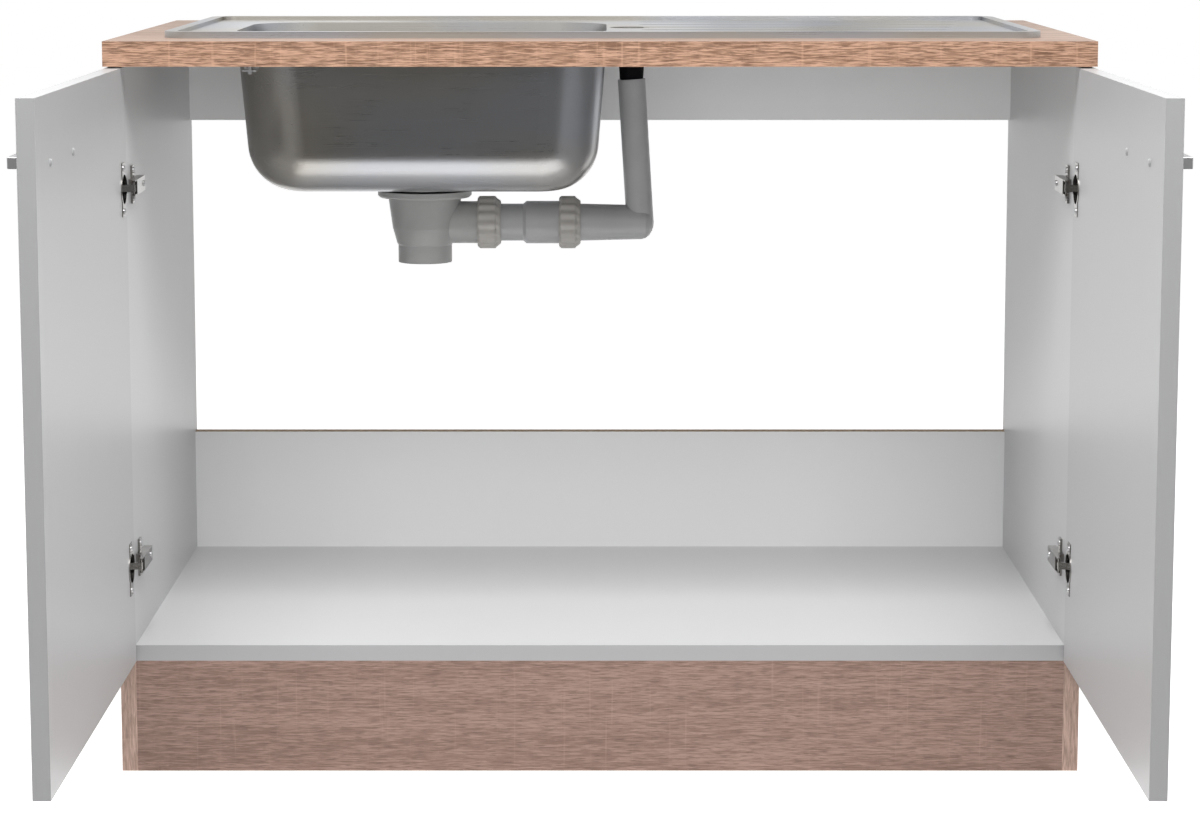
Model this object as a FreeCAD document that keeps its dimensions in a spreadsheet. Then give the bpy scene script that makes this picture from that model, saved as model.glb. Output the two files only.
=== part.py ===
import FreeCAD, Part
import os
import re
import Sketcher

# Kitchen sink unit, 1100 mm wide: a two-door base cabinet with a laid-on worktop, an inset
# pressed-steel sink with its drainer on the right, a basket waste and an overflow pipe.
#
# Frame: +X to the right, +Y towards the wall, +Z up. The origin is the centre of the plinth
# board's underside. Both doors are drawn open at 90 degrees, which is the rest position.
# Lengths are in millimetres.

Vector, Rotation, Placement = FreeCAD.Vector, FreeCAD.Rotation, FreeCAD.Placement

SIZES = {
    # carcass boards
    "unit_width": 1100,
    "board": 18,
    "edging": 1,
    "carcass_depth": 556,
    "plinth_height": 130,
    "rail_height": 100,
    "back_panel_height": 154,
    # worktop
    "worktop_height": 840,
    "worktop_thick": 28,
    "worktop_overhang": 38,
    "worktop_back_overhang": 6,
    # dowels and cam fittings
    "dowel_radius": 4,
    "dowel_length": 30,
    "dowel_in_face": 10,
    "fixing_slack": 0.1,
    "dowel_from_edge": 20,
    "deep_dowel_from_edge": 60,
    "deep_cam_from_edge": 130,
    "cam_radius": 7.5,
    "cam_depth": 12.5,
    "cam_from_end": 34,
    "cam_bolt_radius": 3,
    "cam_bolt_in_face": 11,
    # doors, measured open
    "door_thick": 18,
    "door_middle_room": 5,
    "door_top_gap": 2,
    "door_side_set": 1,
    "door_front_gap": 4.5,
    # concealed hinges
    "hinge_above_bottom": 114,
    "hinge_below_top": 135,
    "arm_pivot_in": 10,
    "arm_pivot_out": 11.75,
    "cup_pivot_depth": 5,
    "cup_pivot_from_edge": 11,
    "cup_centre_from_edge": 22.5,
    "cup_radius": 17.5,
    "cup_depth": 12,
    "cup_wall": 1,
    "cup_lip": 1.5,
    "flange_thick": 1.2,
    "flange_height": 60,
    "flange_near": 5,
    "flange_far": 13,
    "cup_screw_spacing": 48,
    "cup_screw_offset": 6,
    "link_radius": 2,
    "link_half_height": 4,
    "slot_side_play": 0.4,
    "slot_inwards": 1.8,
    "slot_outwards": 0.25,
    "pin_radius": 1.1,
    "pin_running_gap": 0.05,
    "pin_tight_gap": 0.02,
    "cup_pin_bite": 0.57,
    "arm_half_height": 8.5,
    "arm_sheet": 1.2,
    "arm_nose_radius": 1.9,
    "arm_top": 12.4,
    "arm_foot": 2.8,
    "arm_back": 58,
    "arm_shoulder": 14,
    "arm_throat": 3,
    "plate_thick": 2.5,
    "plate_height": 43,
    "plate_front": 30,
    "plate_back": 44,
    "plate_core_front": 16,
    "plate_core_gap": 0.2,
    "plate_screw_setback": 37,
    "plate_screw_spacing": 32,
    "arm_screw_setback": 48,
    "screw_radius": 1.8,
    "screw_head_radius": 3.4,
    "screw_head_height": 1.6,
    "screw_length": 11,
    # bar handles
    "handle_below_top": 67,
    "handle_from_free_edge": 70,
    "handle_length": 138,
    "handle_section": 10,
    "handle_height": 12,
    "handle_projection": 23,
    "handle_edge_round": 1.2,
    "handle_screw_radius": 2,
    "handle_screw_in": 10,
    "handle_screw_head_radius": 4,
    "handle_screw_head_height": 2,
    # sink
    "sink_left_margin": 55.5,
    "sink_right_margin": 49.5,
    "sink_front_margin": 72,
    "sink_back_margin": 48,
    "sink_corner": 30,
    "sheet": 1,
    "rim_height": 7.5,
    "rim_width": 14,
    "deck_drop": 4.5,
    "cutout_inset": 9,
    "cutout_corner": 22,
    "seal_width": 6,
    "bowl_left_set": 68.5,
    "bowl_length": 434,
    "bowl_front_set": 75,
    "bowl_width": 310,
    "bowl_drop": 186.5,
    "drain_seat_drop": 3.5,
    "drain_seat_room": 2.5,
    "drain_seat_slope": 3,
    "bowl_corner": 72,
    "bowl_foot": 56,
    "bowl_draft": 4.5,
    "drain_left_set": 3,
    "drain_hole": 45,
    # drainer grooves
    "groove_count": 5,
    "groove_from_overflow": 22,
    "groove_from_end": 110.5,
    "groove_stagger": 12,
    "groove_pitch": 78,
    "groove_radius": 20,
    "groove_depth": 3,
    # overflow well in the deck
    "overflow_from_bowl": 28,
    "overflow_radius": 24,
    "overflow_depth": 9,
    "overflow_hole": 16,
    "overflow_cover_radius": 20,
    "overflow_slot_radius": 2.5,
    "overflow_slot_ring": 11,
    # clamps that hold the sink down on the worktop
    "clamp_from_end": 85.5,
    "clamp_spacing": 280,
    "clamp_from_far_end": 61.5,
    "clamp_far_spacing": 270,
    "front_clamp_from_end": 90.5,
    "clamp_width": 16,
    "clamp_strip": 2,
    "clamp_reach": 22,
    "clamp_drop": 9,
    "clamp_gap": 3,
    "clamp_screw_radius": 2.5,
    "clamp_screw_tail": 3,
    # basket waste
    "waste_gasket": 3,
    "waste_gasket_width": 7.5,
    "waste_flange_lap": 4.2,
    "waste_flange": 8,
    "waste_wall": 2.2,
    "waste_mouth_room": 2.5,
    "waste_foot_room": 0.5,
    "waste_waist_drop": 48,
    "waste_cone_radius": 34,
    "waste_cone_drop": 67,
    "waste_collar_radius": 32.5,
    "waste_collar_drop": 90,
    "waste_bridge_drop": 47,
    "waste_bridge": 5,
    "waste_bridge_width": 10,
    "strainer_seal": 1,
    "strainer_lap": 10.5,
    "strainer_throat_gap": 3.5,
    "strainer_throat_taper": 2,
    "strainer_cup_taper": 3,
    "strainer_drop": 35,
    "strainer_hole_radius": 3,
    "strainer_hole_ring": 22,
    "strainer_hole_count": 8,
    "strainer_screw_radius": 3,
    "strainer_screw_head": 2.5,
    "basket_gap": 2,
    "basket_floor": 31,
    "basket_rim_drop": 3,
    "basket_hole_radius": 2,
    "basket_ring_outer": 25,
    "basket_ring_inner": 15,
    "knob_radius": 8,
    "knob_rise": 8,
    "knob_stem_radius": 3,
    # overflow branch: side outlet, union nuts, coupling and elbow pipe
    "branch_drop": 42.3,
    "branch_radius": 25.5,
    "branch_end": 80,
    "spigot_radius": 22.5,
    "pipe_wall": 2.2,
    "pipe_gap": 0.1,
    "nut_radius": 32,
    "nut_length": 28,
    "nut_on_branch": 16,
    "nut_second_length": 26,
    "nut_on_socket": 8.5,
    "nut_bevel": 4,
    "nut_rib_radius": 1.1,
    "nut_rib_count": 16,
    "ring_thick": 2.5,
    "spigot_in_branch": 18,
    "coupling_neck": 39,
    "socket_radius": 25.8,
    "socket_length": 52,
    "elbow_in_socket": 26,
    "elbow_straight": 19,
    "elbow_cap_out": 1.5,
    "elbow_far_radius": 20.7,
    "elbow_cap": 15.2,
    "elbow_lean": 3.5,
    "riser_radius": 16.5,
    "riser_top_out": 1.9,
    "riser_top_drop": 52,
    "boot_rim_radius": 23,
    "boot_rim": 3,
    "boot_neck_radius": 14,
    "boot_top_radius": 17.5,
    "boot_wall": 2.5,
    "boot_in_pipe": 8,
}

doc = FreeCAD.newDocument("kitchen_sink_unit")
sheet = doc.addObject("Spreadsheet::Sheet", "Sizes")
for row, (alias, number) in enumerate(SIZES.items(), start=1):
    sheet.set(f"A{row}", alias.replace("_", " "))
    sheet.set(f"B{row}", str(number))
    sheet.setAlias(f"B{row}", alias)
doc.recompute()

WORD = re.compile(r"[a-z][a-z0-9_]*")
NODES = {}


def bound(text):
    """The expression with each size name led back to its cell in the sheet."""
    return WORD.sub(lambda word: "Sizes." + word[0] if word[0] in SIZES else word[0], str(text))


def bind(thing, **expressions):
    for name, text in expressions.items():
        thing.setExpression(name, bound(text))
    return thing


def place(thing, at, rotation=None):
    thing.Placement = Placement(Vector(), rotation or Rotation())
    for axis, text in zip("xyz", at):
        thing.setExpression(f"Placement.Base.{axis}", bound(text))
    return thing


def node(name, thing):
    thing.Label = name
    NODES[name] = thing
    return thing


# ---------------------------------------------------------------- simple solids and booleans

ALONG = {
    "x": Rotation(Vector(0, 1, 0), 90),
    "-x": Rotation(Vector(0, 1, 0), -90),
    "y": Rotation(Vector(1, 0, 0), -90),
    "z": Rotation(),
    "-z": Rotation(Vector(1, 0, 0), 180),
}


def box(name, x, y, z):
    """A block between low and high expressions along each axis."""
    block = doc.addObject("Part::Box", name)
    spans = [f"({high}) - ({low})" for low, high in (x, y, z)]
    bind(block, Length=spans[0], Width=spans[1], Height=spans[2])
    return place(block, (x[0], y[0], z[0]))


def rod(name, axis, at, radius, length):
    bar = doc.addObject("Part::Cylinder", name)
    bind(bar, Radius=radius, Height=length)
    return place(bar, at, ALONG[axis])


def fuse(name, *pieces):
    joined = doc.addObject("Part::MultiFuse", name)
    joined.Shapes = list(pieces)
    return joined


def cut(name, base, *tools):
    result = doc.addObject("Part::Cut", name)
    result.Base = base
    result.Tool = tools[0] if len(tools) == 1 else fuse(name + "_tools", *tools)
    return result


def group(name, pieces):
    together = doc.addObject("Part::Compound", name)
    together.Links = list(pieces)
    return together


# ---------------------------------------------------------------- bodies drawn in sketches


def origin_plane(body, role):
    return next(f for f in body.Origin.OriginFeatures if f.Role == role)


def profile(body, role, points):
    """A closed outline of straight runs. Every corner is tied to the sheet on both axes."""
    sketch = body.newObject("Sketcher::SketchObject", body.Name + "_profile")
    sketch.AttachmentSupport = (origin_plane(body, role), [""])
    sketch.MapMode = "FlatFace"
    texts = [(bound(x), bound(y)) for x, y in points]
    places = [Vector(*(float(sheet.evalExpression(t)) for t in pair), 0) for pair in texts]
    count = len(places)
    for index, start in enumerate(places):
        sketch.addGeometry(Part.LineSegment(start, places[(index + 1) % count]), False)
    for index in range(count):
        sketch.addConstraint(Sketcher.Constraint("Coincident", index, 2, (index + 1) % count, 1))
    for index, (pair, corner) in enumerate(zip(texts, places)):
        for axis, text, value in zip("XY", pair, corner):
            tie = Sketcher.Constraint("Distance" + axis, -1, 1, index, 1, value)
            label = f"corner_{index}_{axis}"
            sketch.renameConstraint(sketch.addConstraint(tie), label)
            sketch.setExpression("Constraints." + label, text)
    return sketch


def turned(name, axis, at, points):
    """A body of revolution. The points are (radius, distance along the axis)."""
    body = doc.addObject("PartDesign::Body", name)
    sketch = profile(body, "XZ_Plane", points)
    spin = body.newObject("PartDesign::Revolution", name + "_revolution")
    spin.Profile = sketch
    spin.ReferenceAxis = (sketch, ["V_Axis"])
    spin.Angle = 360
    body.Tip = spin
    return place(body, at, ALONG[axis])


def padded(name, points, low, high):
    """An outline in plan, given as (x, y), that stands from low to high."""
    body = doc.addObject("PartDesign::Body", name)
    sketch = profile(body, "XY_Plane", points)
    pad = body.newObject("PartDesign::Pad", name + "_pad")
    pad.Profile = sketch
    bind(pad, Length=f"({high}) - ({low})")
    body.Tip = pad
    return place(body, ("0", "0", low))


def rounded(body, feature, radius, chosen):
    """A fillet on the edges of the feature that the test picks."""
    doc.recompute()
    names = [f"Edge{i}" for i, edge in enumerate(feature.Shape.Edges, start=1) if chosen(edge)]
    fillet = body.newObject("PartDesign::Fillet", body.Name + "_fillet")
    fillet.Base = (feature, names)
    bind(fillet, Radius=radius)
    body.Tip = fillet
    return fillet


def pan(name, centre, front, length, width, top, depth, corner, draft="0", foot=None):
    """A block with rounded corners that hangs down from its top face, its walls drawn in by
    the draft angle, and a rounded foot. Pressings and the holes they sit in are made of it."""
    body = doc.addObject("PartDesign::Body", name)
    block = body.newObject("PartDesign::AdditiveWedge", name + "_block")
    draw = f"({depth})*tan({draft})"
    bind(block, Xmin=f"-({length})/2", Xmax=f"({length})/2", X2min=f"{draw} - ({length})/2")
    bind(block, X2max=f"({length})/2 - {draw}", Ymin="0", Ymax=depth)
    bind(block, Zmin="0", Zmax=width, Z2min=draw, Z2max=f"({width}) - {draw}")

    def upright(edge):
        low, high = (v.Point.y for v in edge.Vertexes)
        return abs(high - low) > 1e-6

    last = rounded(body, block, corner, upright)
    if foot:
        doc.recompute()
        bottom = max(v.Point.y for v in last.Shape.Vertexes)

        def at_foot(edge):
            return all(v.Point.y > bottom - 0.001 for v in edge.Vertexes)

        rounded(body, last, foot, at_foot)
    return place(body, (centre, front, top), Rotation(Vector(1, 0, 0), -90))


# ---------------------------------------------------------------- reference planes

HALF = "unit_width/2"
INNER = f"({HALF} - board)"
FRONT = "(-board/2)"
BACK = "(carcass_depth - board/2)"
WORKTOP_UNDER = "(worktop_height - worktop_thick)"
WORKTOP_FRONT = f"({FRONT} - worktop_overhang)"
FLOOR_TOP = "(plinth_height + board)"
RAIL_FACE = f"({BACK} - board)"
RAIL_FOOT = f"({WORKTOP_UNDER} - rail_height)"
SIDES = (("left", -1), ("right", 1))
DOOR_BOTTOM = "plinth_height"
DOOR_TOP = f"({WORKTOP_UNDER} - door_top_gap)"
HINGES = (("lower", f"({DOOR_BOTTOM} + hinge_above_bottom)"),
          ("upper", f"({DOOR_TOP} - hinge_below_top)"))


def across(side, near, far):
    """The X span between two distances inwards from the unit's outer face on that side."""
    if side < 0:
        return (f"({near}) - {HALF}", f"({far}) - {HALF}")
    return (f"{HALF} - ({far})", f"{HALF} - ({near})")


def inward(side, distance):
    return f"{side}*({HALF} - ({distance}))"


# ---------------------------------------------------------------- carcass with its fixings

dowels = []
cams = []
drillings = {name: [] for name in ("left", "right", "floor", "rail", "back", "plinth", "top")}
FACE_DEPTH = "(dowel_in_face + fixing_slack)"


def side_dowel(side_name, side, board, y, z):
    """A dowel across the joint between a side panel and the end of a board."""
    start = inward(side, "board - dowel_in_face")
    low = start if side < 0 else f"{start} - dowel_length"
    where = (low, y, z)
    dowels.append(rod("dowel", "x", where, "dowel_radius", "dowel_length"))
    hole = (f"{low} - fixing_slack", y, z)
    bore = ("dowel_radius + fixing_slack", "dowel_length + 2*fixing_slack")
    for holder in (side_name, board):
        drillings[holder].append(rod("dowel_hole", "x", hole, *bore))


def side_cam(side_name, side, board, y, z, axis, mouth):
    """A cam in a board's hidden face, with the bolt that it draws the side panel up with."""
    centre = inward(side, "board + cam_from_end")
    bolt_end = inward(side, "board - cam_bolt_in_face")
    bolt_length = "cam_bolt_in_face + cam_from_end - cam_radius"
    low = bolt_end if side < 0 else f"{bolt_end} - ({bolt_length})"
    at = (centre, y, mouth) if axis == "z" else (centre, mouth, z)
    if axis == "y":
        at = (centre, f"{mouth} - cam_depth", z)
    disc = rod("cam_disc", axis, at, "cam_radius", "cam_depth")
    bolt = rod("cam_bolt", "x", (low, y, z), "cam_bolt_radius", bolt_length)
    cams.append(fuse("cam_with_bolt", disc, bolt))
    seat = list(at)
    if axis == "y":
        seat[1] = f"{at[1]} - fixing_slack"
    depth = "cam_depth + fixing_slack"
    drillings[board].append(rod("cam_seat", axis, seat, "cam_radius + fixing_slack", depth))
    for holder in (side_name, board):
        length = f"{bolt_length} + fixing_slack"
        start = f"{low} - fixing_slack" if side < 0 else low
        bore = "cam_bolt_radius + fixing_slack"
        drillings[holder].append(rod("bolt_hole", "x", (start, y, z), bore, length))


for side_name, side in SIDES:
    floor_middle = "plinth_height + board/2"
    rail_middle = f"{BACK} - board/2"
    for y in (f"{FRONT} + deep_dowel_from_edge", f"{BACK} - deep_dowel_from_edge"):
        side_dowel(side_name, side, "floor", y, floor_middle)
    for y in (f"{FRONT} + deep_cam_from_edge", f"{BACK} - deep_cam_from_edge"):
        side_cam(side_name, side, "floor", y, floor_middle, "z", "plinth_height")
    for z in (f"{RAIL_FOOT} + dowel_from_edge", f"{WORKTOP_UNDER} - dowel_from_edge"):
        side_dowel(side_name, side, "rail", rail_middle, z)
    side_cam(side_name, side, "rail", rail_middle, f"{RAIL_FOOT} + rail_height/2", "y", BACK)
    for z in (f"{FLOOR_TOP} + dowel_from_edge", f"{FLOOR_TOP} + back_panel_height - dowel_from_edge"):
        side_dowel(side_name, side, "back", rail_middle, z)
    side_cam(side_name, side, "back", rail_middle, f"{FLOOR_TOP} + back_panel_height/2", "y", BACK)
    for z in ("dowel_from_edge", "plinth_height - dowel_from_edge"):
        side_dowel(side_name, side, "plinth", "0", z)
    for y in (f"{FRONT} + deep_dowel_from_edge", f"{BACK} - deep_dowel_from_edge"):
        low = f"{WORKTOP_UNDER} - dowel_length + dowel_in_face"
        at = (inward(side, "board/2"), y, low)
        dowels.append(rod("dowel", "z", at, "dowel_radius", "dowel_length"))
        at = (inward(side, "board/2"), y, f"{low} - fixing_slack")
        bore = ("dowel_radius + fixing_slack", "dowel_length + 2*fixing_slack")
        for holder in (side_name, "top"):
            drillings[holder].append(rod("dowel_hole", "z", at, *bore))

node("dowels", group("dowels", dowels))
node("cam_fittings", group("cam_fittings", cams))

for side_name, side in SIDES:
    for z_name, z in HINGES:
        for sign in (-1, 1):
            height = f"{z} + {sign}*plate_screw_spacing/2"
            reach = "screw_length + fixing_slack"
            x = inward(side, "board") if side > 0 else f"{inward(side, 'board')} - ({reach})"
            at = (x, f"{FRONT} + plate_screw_setback", height)
            pilot = rod("plate_pilot", "x", at, "screw_radius + fixing_slack", reach)
            drillings[side_name].append(pilot)
    panel = box("side_board", across(side, "0", "board"), (f"{FRONT} + edging", BACK),
                ("0", WORKTOP_UNDER))
    node(f"side_panel_{side_name}", cut("side_panel", panel, *drillings[side_name]))
    edge = box("side_edging", across(side, "0", "board"), (FRONT, f"{FRONT} + edging"),
               ("0", WORKTOP_UNDER))
    node(f"side_edging_{side_name}", edge)

BETWEEN = (f"-{INNER}", INNER)
floor = box("floor_board", BETWEEN, (f"{FRONT} + edging", BACK), ("plinth_height", FLOOR_TOP))
node("floor_panel", cut("floor_panel", floor, *drillings["floor"]))
node("floor_edging", box("floor_edging", BETWEEN, (FRONT, f"{FRONT} + edging"),
                         ("plinth_height", FLOOR_TOP)))
rail = box("rail_board", BETWEEN, (RAIL_FACE, BACK), (RAIL_FOOT, WORKTOP_UNDER))
node("upper_back_rail", cut("upper_back_rail", rail, *drillings["rail"]))
low_back = box("back_board", BETWEEN, (RAIL_FACE, BACK),
               (FLOOR_TOP, f"{FLOOR_TOP} + back_panel_height"))
node("lower_back_panel", cut("lower_back_panel", low_back, *drillings["back"]))
plinth = box("plinth", BETWEEN, (FRONT, "board/2"), ("0", "plinth_height"))
node("plinth_board", cut("plinth_board", plinth, *drillings["plinth"]))

# ---------------------------------------------------------------- worktop

SINK_FRONT = f"({WORKTOP_FRONT} + sink_front_margin)"
WORKTOP_BACK = f"({BACK} + worktop_back_overhang)"
SINK_BACK = f"({WORKTOP_BACK} - sink_back_margin)"
SINK_DEPTH = f"({SINK_BACK} - {SINK_FRONT})"
SINK_LEFT = f"(sink_left_margin - {HALF})"
SINK_RIGHT = f"({HALF} - sink_right_margin)"
SINK_LENGTH = f"({SINK_RIGHT} - {SINK_LEFT})"
SINK_X = f"(({SINK_LEFT} + {SINK_RIGHT})/2)"
top_board = box("worktop_board", (f"-{HALF} + edging", f"{HALF} - edging"),
                (f"{WORKTOP_FRONT} + edging", WORKTOP_BACK), (WORKTOP_UNDER, "worktop_height"))
cutout = pan("worktop_cutout", SINK_X, f"{SINK_FRONT} + cutout_inset",
             f"{SINK_LENGTH} - 2*cutout_inset", f"{SINK_DEPTH} - 2*cutout_inset",
             "worktop_height", "worktop_thick", "cutout_corner")
node("worktop", cut("worktop", top_board, cutout, *drillings["top"]))
node("worktop_front_edging", box("worktop_front_edging", (f"-{HALF}", HALF),
                                 (WORKTOP_FRONT, f"{WORKTOP_FRONT} + edging"),
                                 (WORKTOP_UNDER, "worktop_height")))
ends = []
for side_name, side in SIDES:
    ends.append(box("worktop_end", across(side, "0", "edging"),
                    (f"{WORKTOP_FRONT} + edging", WORKTOP_BACK),
                    (WORKTOP_UNDER, "worktop_height")))
node("worktop_end_edgings", group("worktop_end_edgings", ends))

# ---------------------------------------------------------------- sink

RIM_TOP = "(worktop_height + rim_height)"
DECK_TOP = f"({RIM_TOP} - deck_drop)"
DECK_UNDER = f"({DECK_TOP} - sheet)"
BOWL_FRONT = f"({SINK_FRONT} + bowl_front_set)"
BOWL_X = f"({SINK_LEFT} + bowl_left_set + bowl_length/2)"
BOWL_UNDER = "(worktop_height - bowl_drop)"
BOWL_FLOOR = f"({BOWL_UNDER} + sheet)"
DRAIN_UNDER = f"({BOWL_UNDER} - drain_seat_drop)"
DRAIN_FLOOR = f"({DRAIN_UNDER} + sheet)"
DRAIN_X = f"({BOWL_X} - drain_left_set)"
DRAIN_Y = f"({BOWL_FRONT} + bowl_width/2)"
DRAIN = (DRAIN_X, DRAIN_Y)


def inset_pan(name, inset, top, depth):
    """The sink's outline moved in by the inset on all four sides."""
    return pan(name, SINK_X, f"{SINK_FRONT} + {inset}", f"{SINK_LENGTH} - 2*({inset})",
               f"{SINK_DEPTH} - 2*({inset})", top, depth, f"sink_corner - ({inset})")


rim_block = inset_pan("sink_rim", "0", RIM_TOP, "rim_height")
deck_well = inset_pan("deck_well", "rim_width", RIM_TOP, "deck_drop")
under_all = inset_pan("under_rim", "sheet", f"{RIM_TOP} - sheet", "rim_height - sheet")
under_core = inset_pan("under_core", "rim_width - sheet", f"{RIM_TOP} - sheet",
                       "deck_drop")
under_ring = cut("under_ring", under_all, under_core)
bowl_outer = pan("bowl_outer", BOWL_X, f"{BOWL_FRONT} - sheet", "bowl_length + 2*sheet",
                 "bowl_width + 2*sheet", DECK_TOP, f"{DECK_TOP} - {BOWL_UNDER}",
                 "bowl_corner + sheet", "bowl_draft", "bowl_foot + sheet")
bowl_inner = pan("bowl_inner", BOWL_X, BOWL_FRONT, "bowl_length", "bowl_width",
                 DECK_TOP, f"{DECK_TOP} - {BOWL_FLOOR}", "bowl_corner", "bowl_draft",
                 "bowl_foot")
STRAINER_FLANGE = "(drain_hole + strainer_lap)"
SEAT_RADIUS = f"({STRAINER_FLANGE} + drain_seat_room)"
drain_bore = rod("drain_bore", "z", (*DRAIN, f"{DRAIN_UNDER} - sheet"),
                 "drain_hole", "3*sheet")


def drain_seat(name, low, high, extra):
    """The shallow dish that the strainer sits in. The extra makes the outside of the sheet."""
    return turned(name, "z", (*DRAIN, "0"), [
        ("0", low), (f"{SEAT_RADIUS} + {extra}", low),
        (f"{SEAT_RADIUS} + drain_seat_slope + {extra}", high), ("0", high)])


seat_outer = drain_seat("seat_outer", DRAIN_UNDER, f"{BOWL_UNDER} + sheet/2", "sheet")
seat_inner = drain_seat("seat_inner", DRAIN_FLOOR, f"{BOWL_FLOOR} + sheet/2", "0")


OVERFLOW_X = f"({BOWL_X} + bowl_length/2 + overflow_from_bowl)"
GROOVE_START = f"({OVERFLOW_X} + groove_from_overflow)"
GROOVE_END = f"({SINK_RIGHT} - groove_from_end)"


def groove(name, index, extra):
    """A round-ended groove. The extra radius makes the outside of the same pressing."""
    middle = SIZES["groove_count"] // 2
    y = f"({SINK_FRONT} + {SINK_BACK})/2 + {index - middle}*groove_pitch"
    z = f"{DECK_TOP} + groove_radius - groove_depth"
    radius = f"groove_radius + {extra}"
    end = f"{GROOVE_END} + {index}*groove_stagger"
    run = rod(name, "x", (GROOVE_START, y, z), radius, f"{end} - {GROOVE_START}")
    balls = []
    for x in (GROOVE_START, end):
        ball = bind(doc.addObject("Part::Sphere", name + "_end"), Radius=radius)
        balls.append(place(ball, (x, y, z)))
    return fuse(name + "_whole", run, *balls)


INDEXES = range(SIZES["groove_count"])
grooves_outer = fuse("grooves_outer", *(groove("groove_outer", i, "sheet") for i in INDEXES))
groove_limit = inset_pan("groove_limit", "rim_width", DECK_TOP, "2*groove_depth")
grooves_under = doc.addObject("Part::Common", "grooves_under")
grooves_under.Base = grooves_outer
grooves_under.Tool = groove_limit
grooves_inner = fuse("grooves_inner", *(groove("groove_inner", i, "0") for i in INDEXES))
WELL_AT = (OVERFLOW_X, DRAIN_Y)
well_outer = rod("well_outer", "z", (*WELL_AT, f"{DECK_TOP} - overflow_depth - sheet"),
                 "overflow_radius + sheet", "overflow_depth + sheet")
well_inner = rod("well_inner", "z", (*WELL_AT, f"{DECK_TOP} - overflow_depth"),
                 "overflow_radius", "overflow_depth + deck_drop")
well_hole = rod("well_hole", "z", (*WELL_AT, f"{DECK_TOP} - overflow_depth - 2*sheet"),
                "overflow_hole", "3*sheet")
deck_under = inset_pan("deck_under", "sheet", DECK_UNDER, "rim_height")
rim_only = cut("rim_only", rim_block, deck_well, under_ring, deck_under)
pressing = fuse("sink_pressing", rim_only, bowl_outer, seat_outer, grooves_under, well_outer)
node("sink", cut("sink", pressing, bowl_inner, seat_inner, drain_bore, grooves_inner, well_inner,
                 well_hole))

SEAL = (f"{RIM_TOP} - sheet", "rim_height - sheet")
seal_outer = inset_pan("seal_outer", "sheet + pipe_gap", *SEAL)
seal_inner = inset_pan("seal_inner", "sheet + seal_width", *SEAL)
node("sink_seal", cut("sink_seal", seal_outer, seal_inner))

# ---------------------------------------------------------------- clamps under the sink's rim

CUT_FRONT = f"({SINK_FRONT} + cutout_inset)"
CUT_BACK = f"({SINK_BACK} - cutout_inset)"
CUT_LEFT = f"({SINK_LEFT} + cutout_inset)"
CUT_RIGHT = f"({SINK_RIGHT} - cutout_inset)"
FOOT_TOP = f"({WORKTOP_UNDER} - clamp_drop + clamp_strip)"
FOOT = (f"{WORKTOP_UNDER} - clamp_drop", FOOT_TOP)
BACK_CLAMPS = (f"{CUT_LEFT} + clamp_from_end", f"{CUT_LEFT} + clamp_from_end + clamp_spacing",
               f"{CUT_RIGHT} - clamp_from_far_end - clamp_far_spacing",
               f"{CUT_RIGHT} - clamp_from_far_end")
CLAMPS = [("y", 1, x) for x in BACK_CLAMPS]
CLAMPS += [("y", -1, f"{CUT_LEFT} + front_clamp_from_end")]
CLAMPS += [("x", way, f"({SINK_FRONT} + {SINK_BACK})/2") for way in (-1, 1)]
clamps, clamp_screws = [], []
for axis, way, middle in CLAMPS:
    edge = {("y", 1): CUT_BACK, ("y", -1): CUT_FRONT, ("x", 1): CUT_RIGHT, ("x", -1): CUT_LEFT}
    wall = edge[axis, way]
    strip_far = f"{wall} - {way}*clamp_gap"
    strip_near = f"{strip_far} - {way}*clamp_strip"
    finger = f"{strip_far} + {way}*clamp_reach"
    leg_span = (strip_near, strip_far) if way > 0 else (strip_far, strip_near)
    foot_span = (strip_near, finger) if way > 0 else (finger, strip_near)
    width = (f"{middle} - clamp_width/2", f"{middle} + clamp_width/2")
    leg_z = (FOOT[0], DECK_UNDER)
    hole_at = f"{strip_far} + {way}*(clamp_reach - clamp_width/2)"
    if axis == "y":
        leg = box("clamp_leg", width, leg_span, leg_z)
        foot = box("clamp_foot", width, foot_span, FOOT)
        spot = (middle, hole_at)
    else:
        leg = box("clamp_leg", leg_span, width, leg_z)
        foot = box("clamp_foot", foot_span, width, FOOT)
        spot = (hole_at, middle)
    tail = f"{FOOT[0]} - clamp_screw_tail"
    hole = rod("clamp_hole", "z", (*spot, FOOT[0]), "clamp_screw_radius + pin_tight_gap",
               "clamp_strip")
    clamps.append(cut("clamp", fuse("clamp_strip", leg, foot), hole))
    clamp_screws.append(rod("clamp_screw", "z", (*spot, tail), "clamp_screw_radius",
                            f"{WORKTOP_UNDER} - ({tail})"))
node("sink_clamps", group("sink_clamps", clamps))
node("clamp_screws", group("clamp_screws", clamp_screws))

# ---------------------------------------------------------------- basket waste



def down(drop):
    """A height given as a drop below the underside of the drain seat."""
    return f"({DRAIN_UNDER} - ({drop}))"


def ring(name, at, outer, inner, low, high):
    return turned(name, "z", (*at, "0"), [(inner, low), (outer, low), (outer, high),
                                          (inner, high)])


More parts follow.
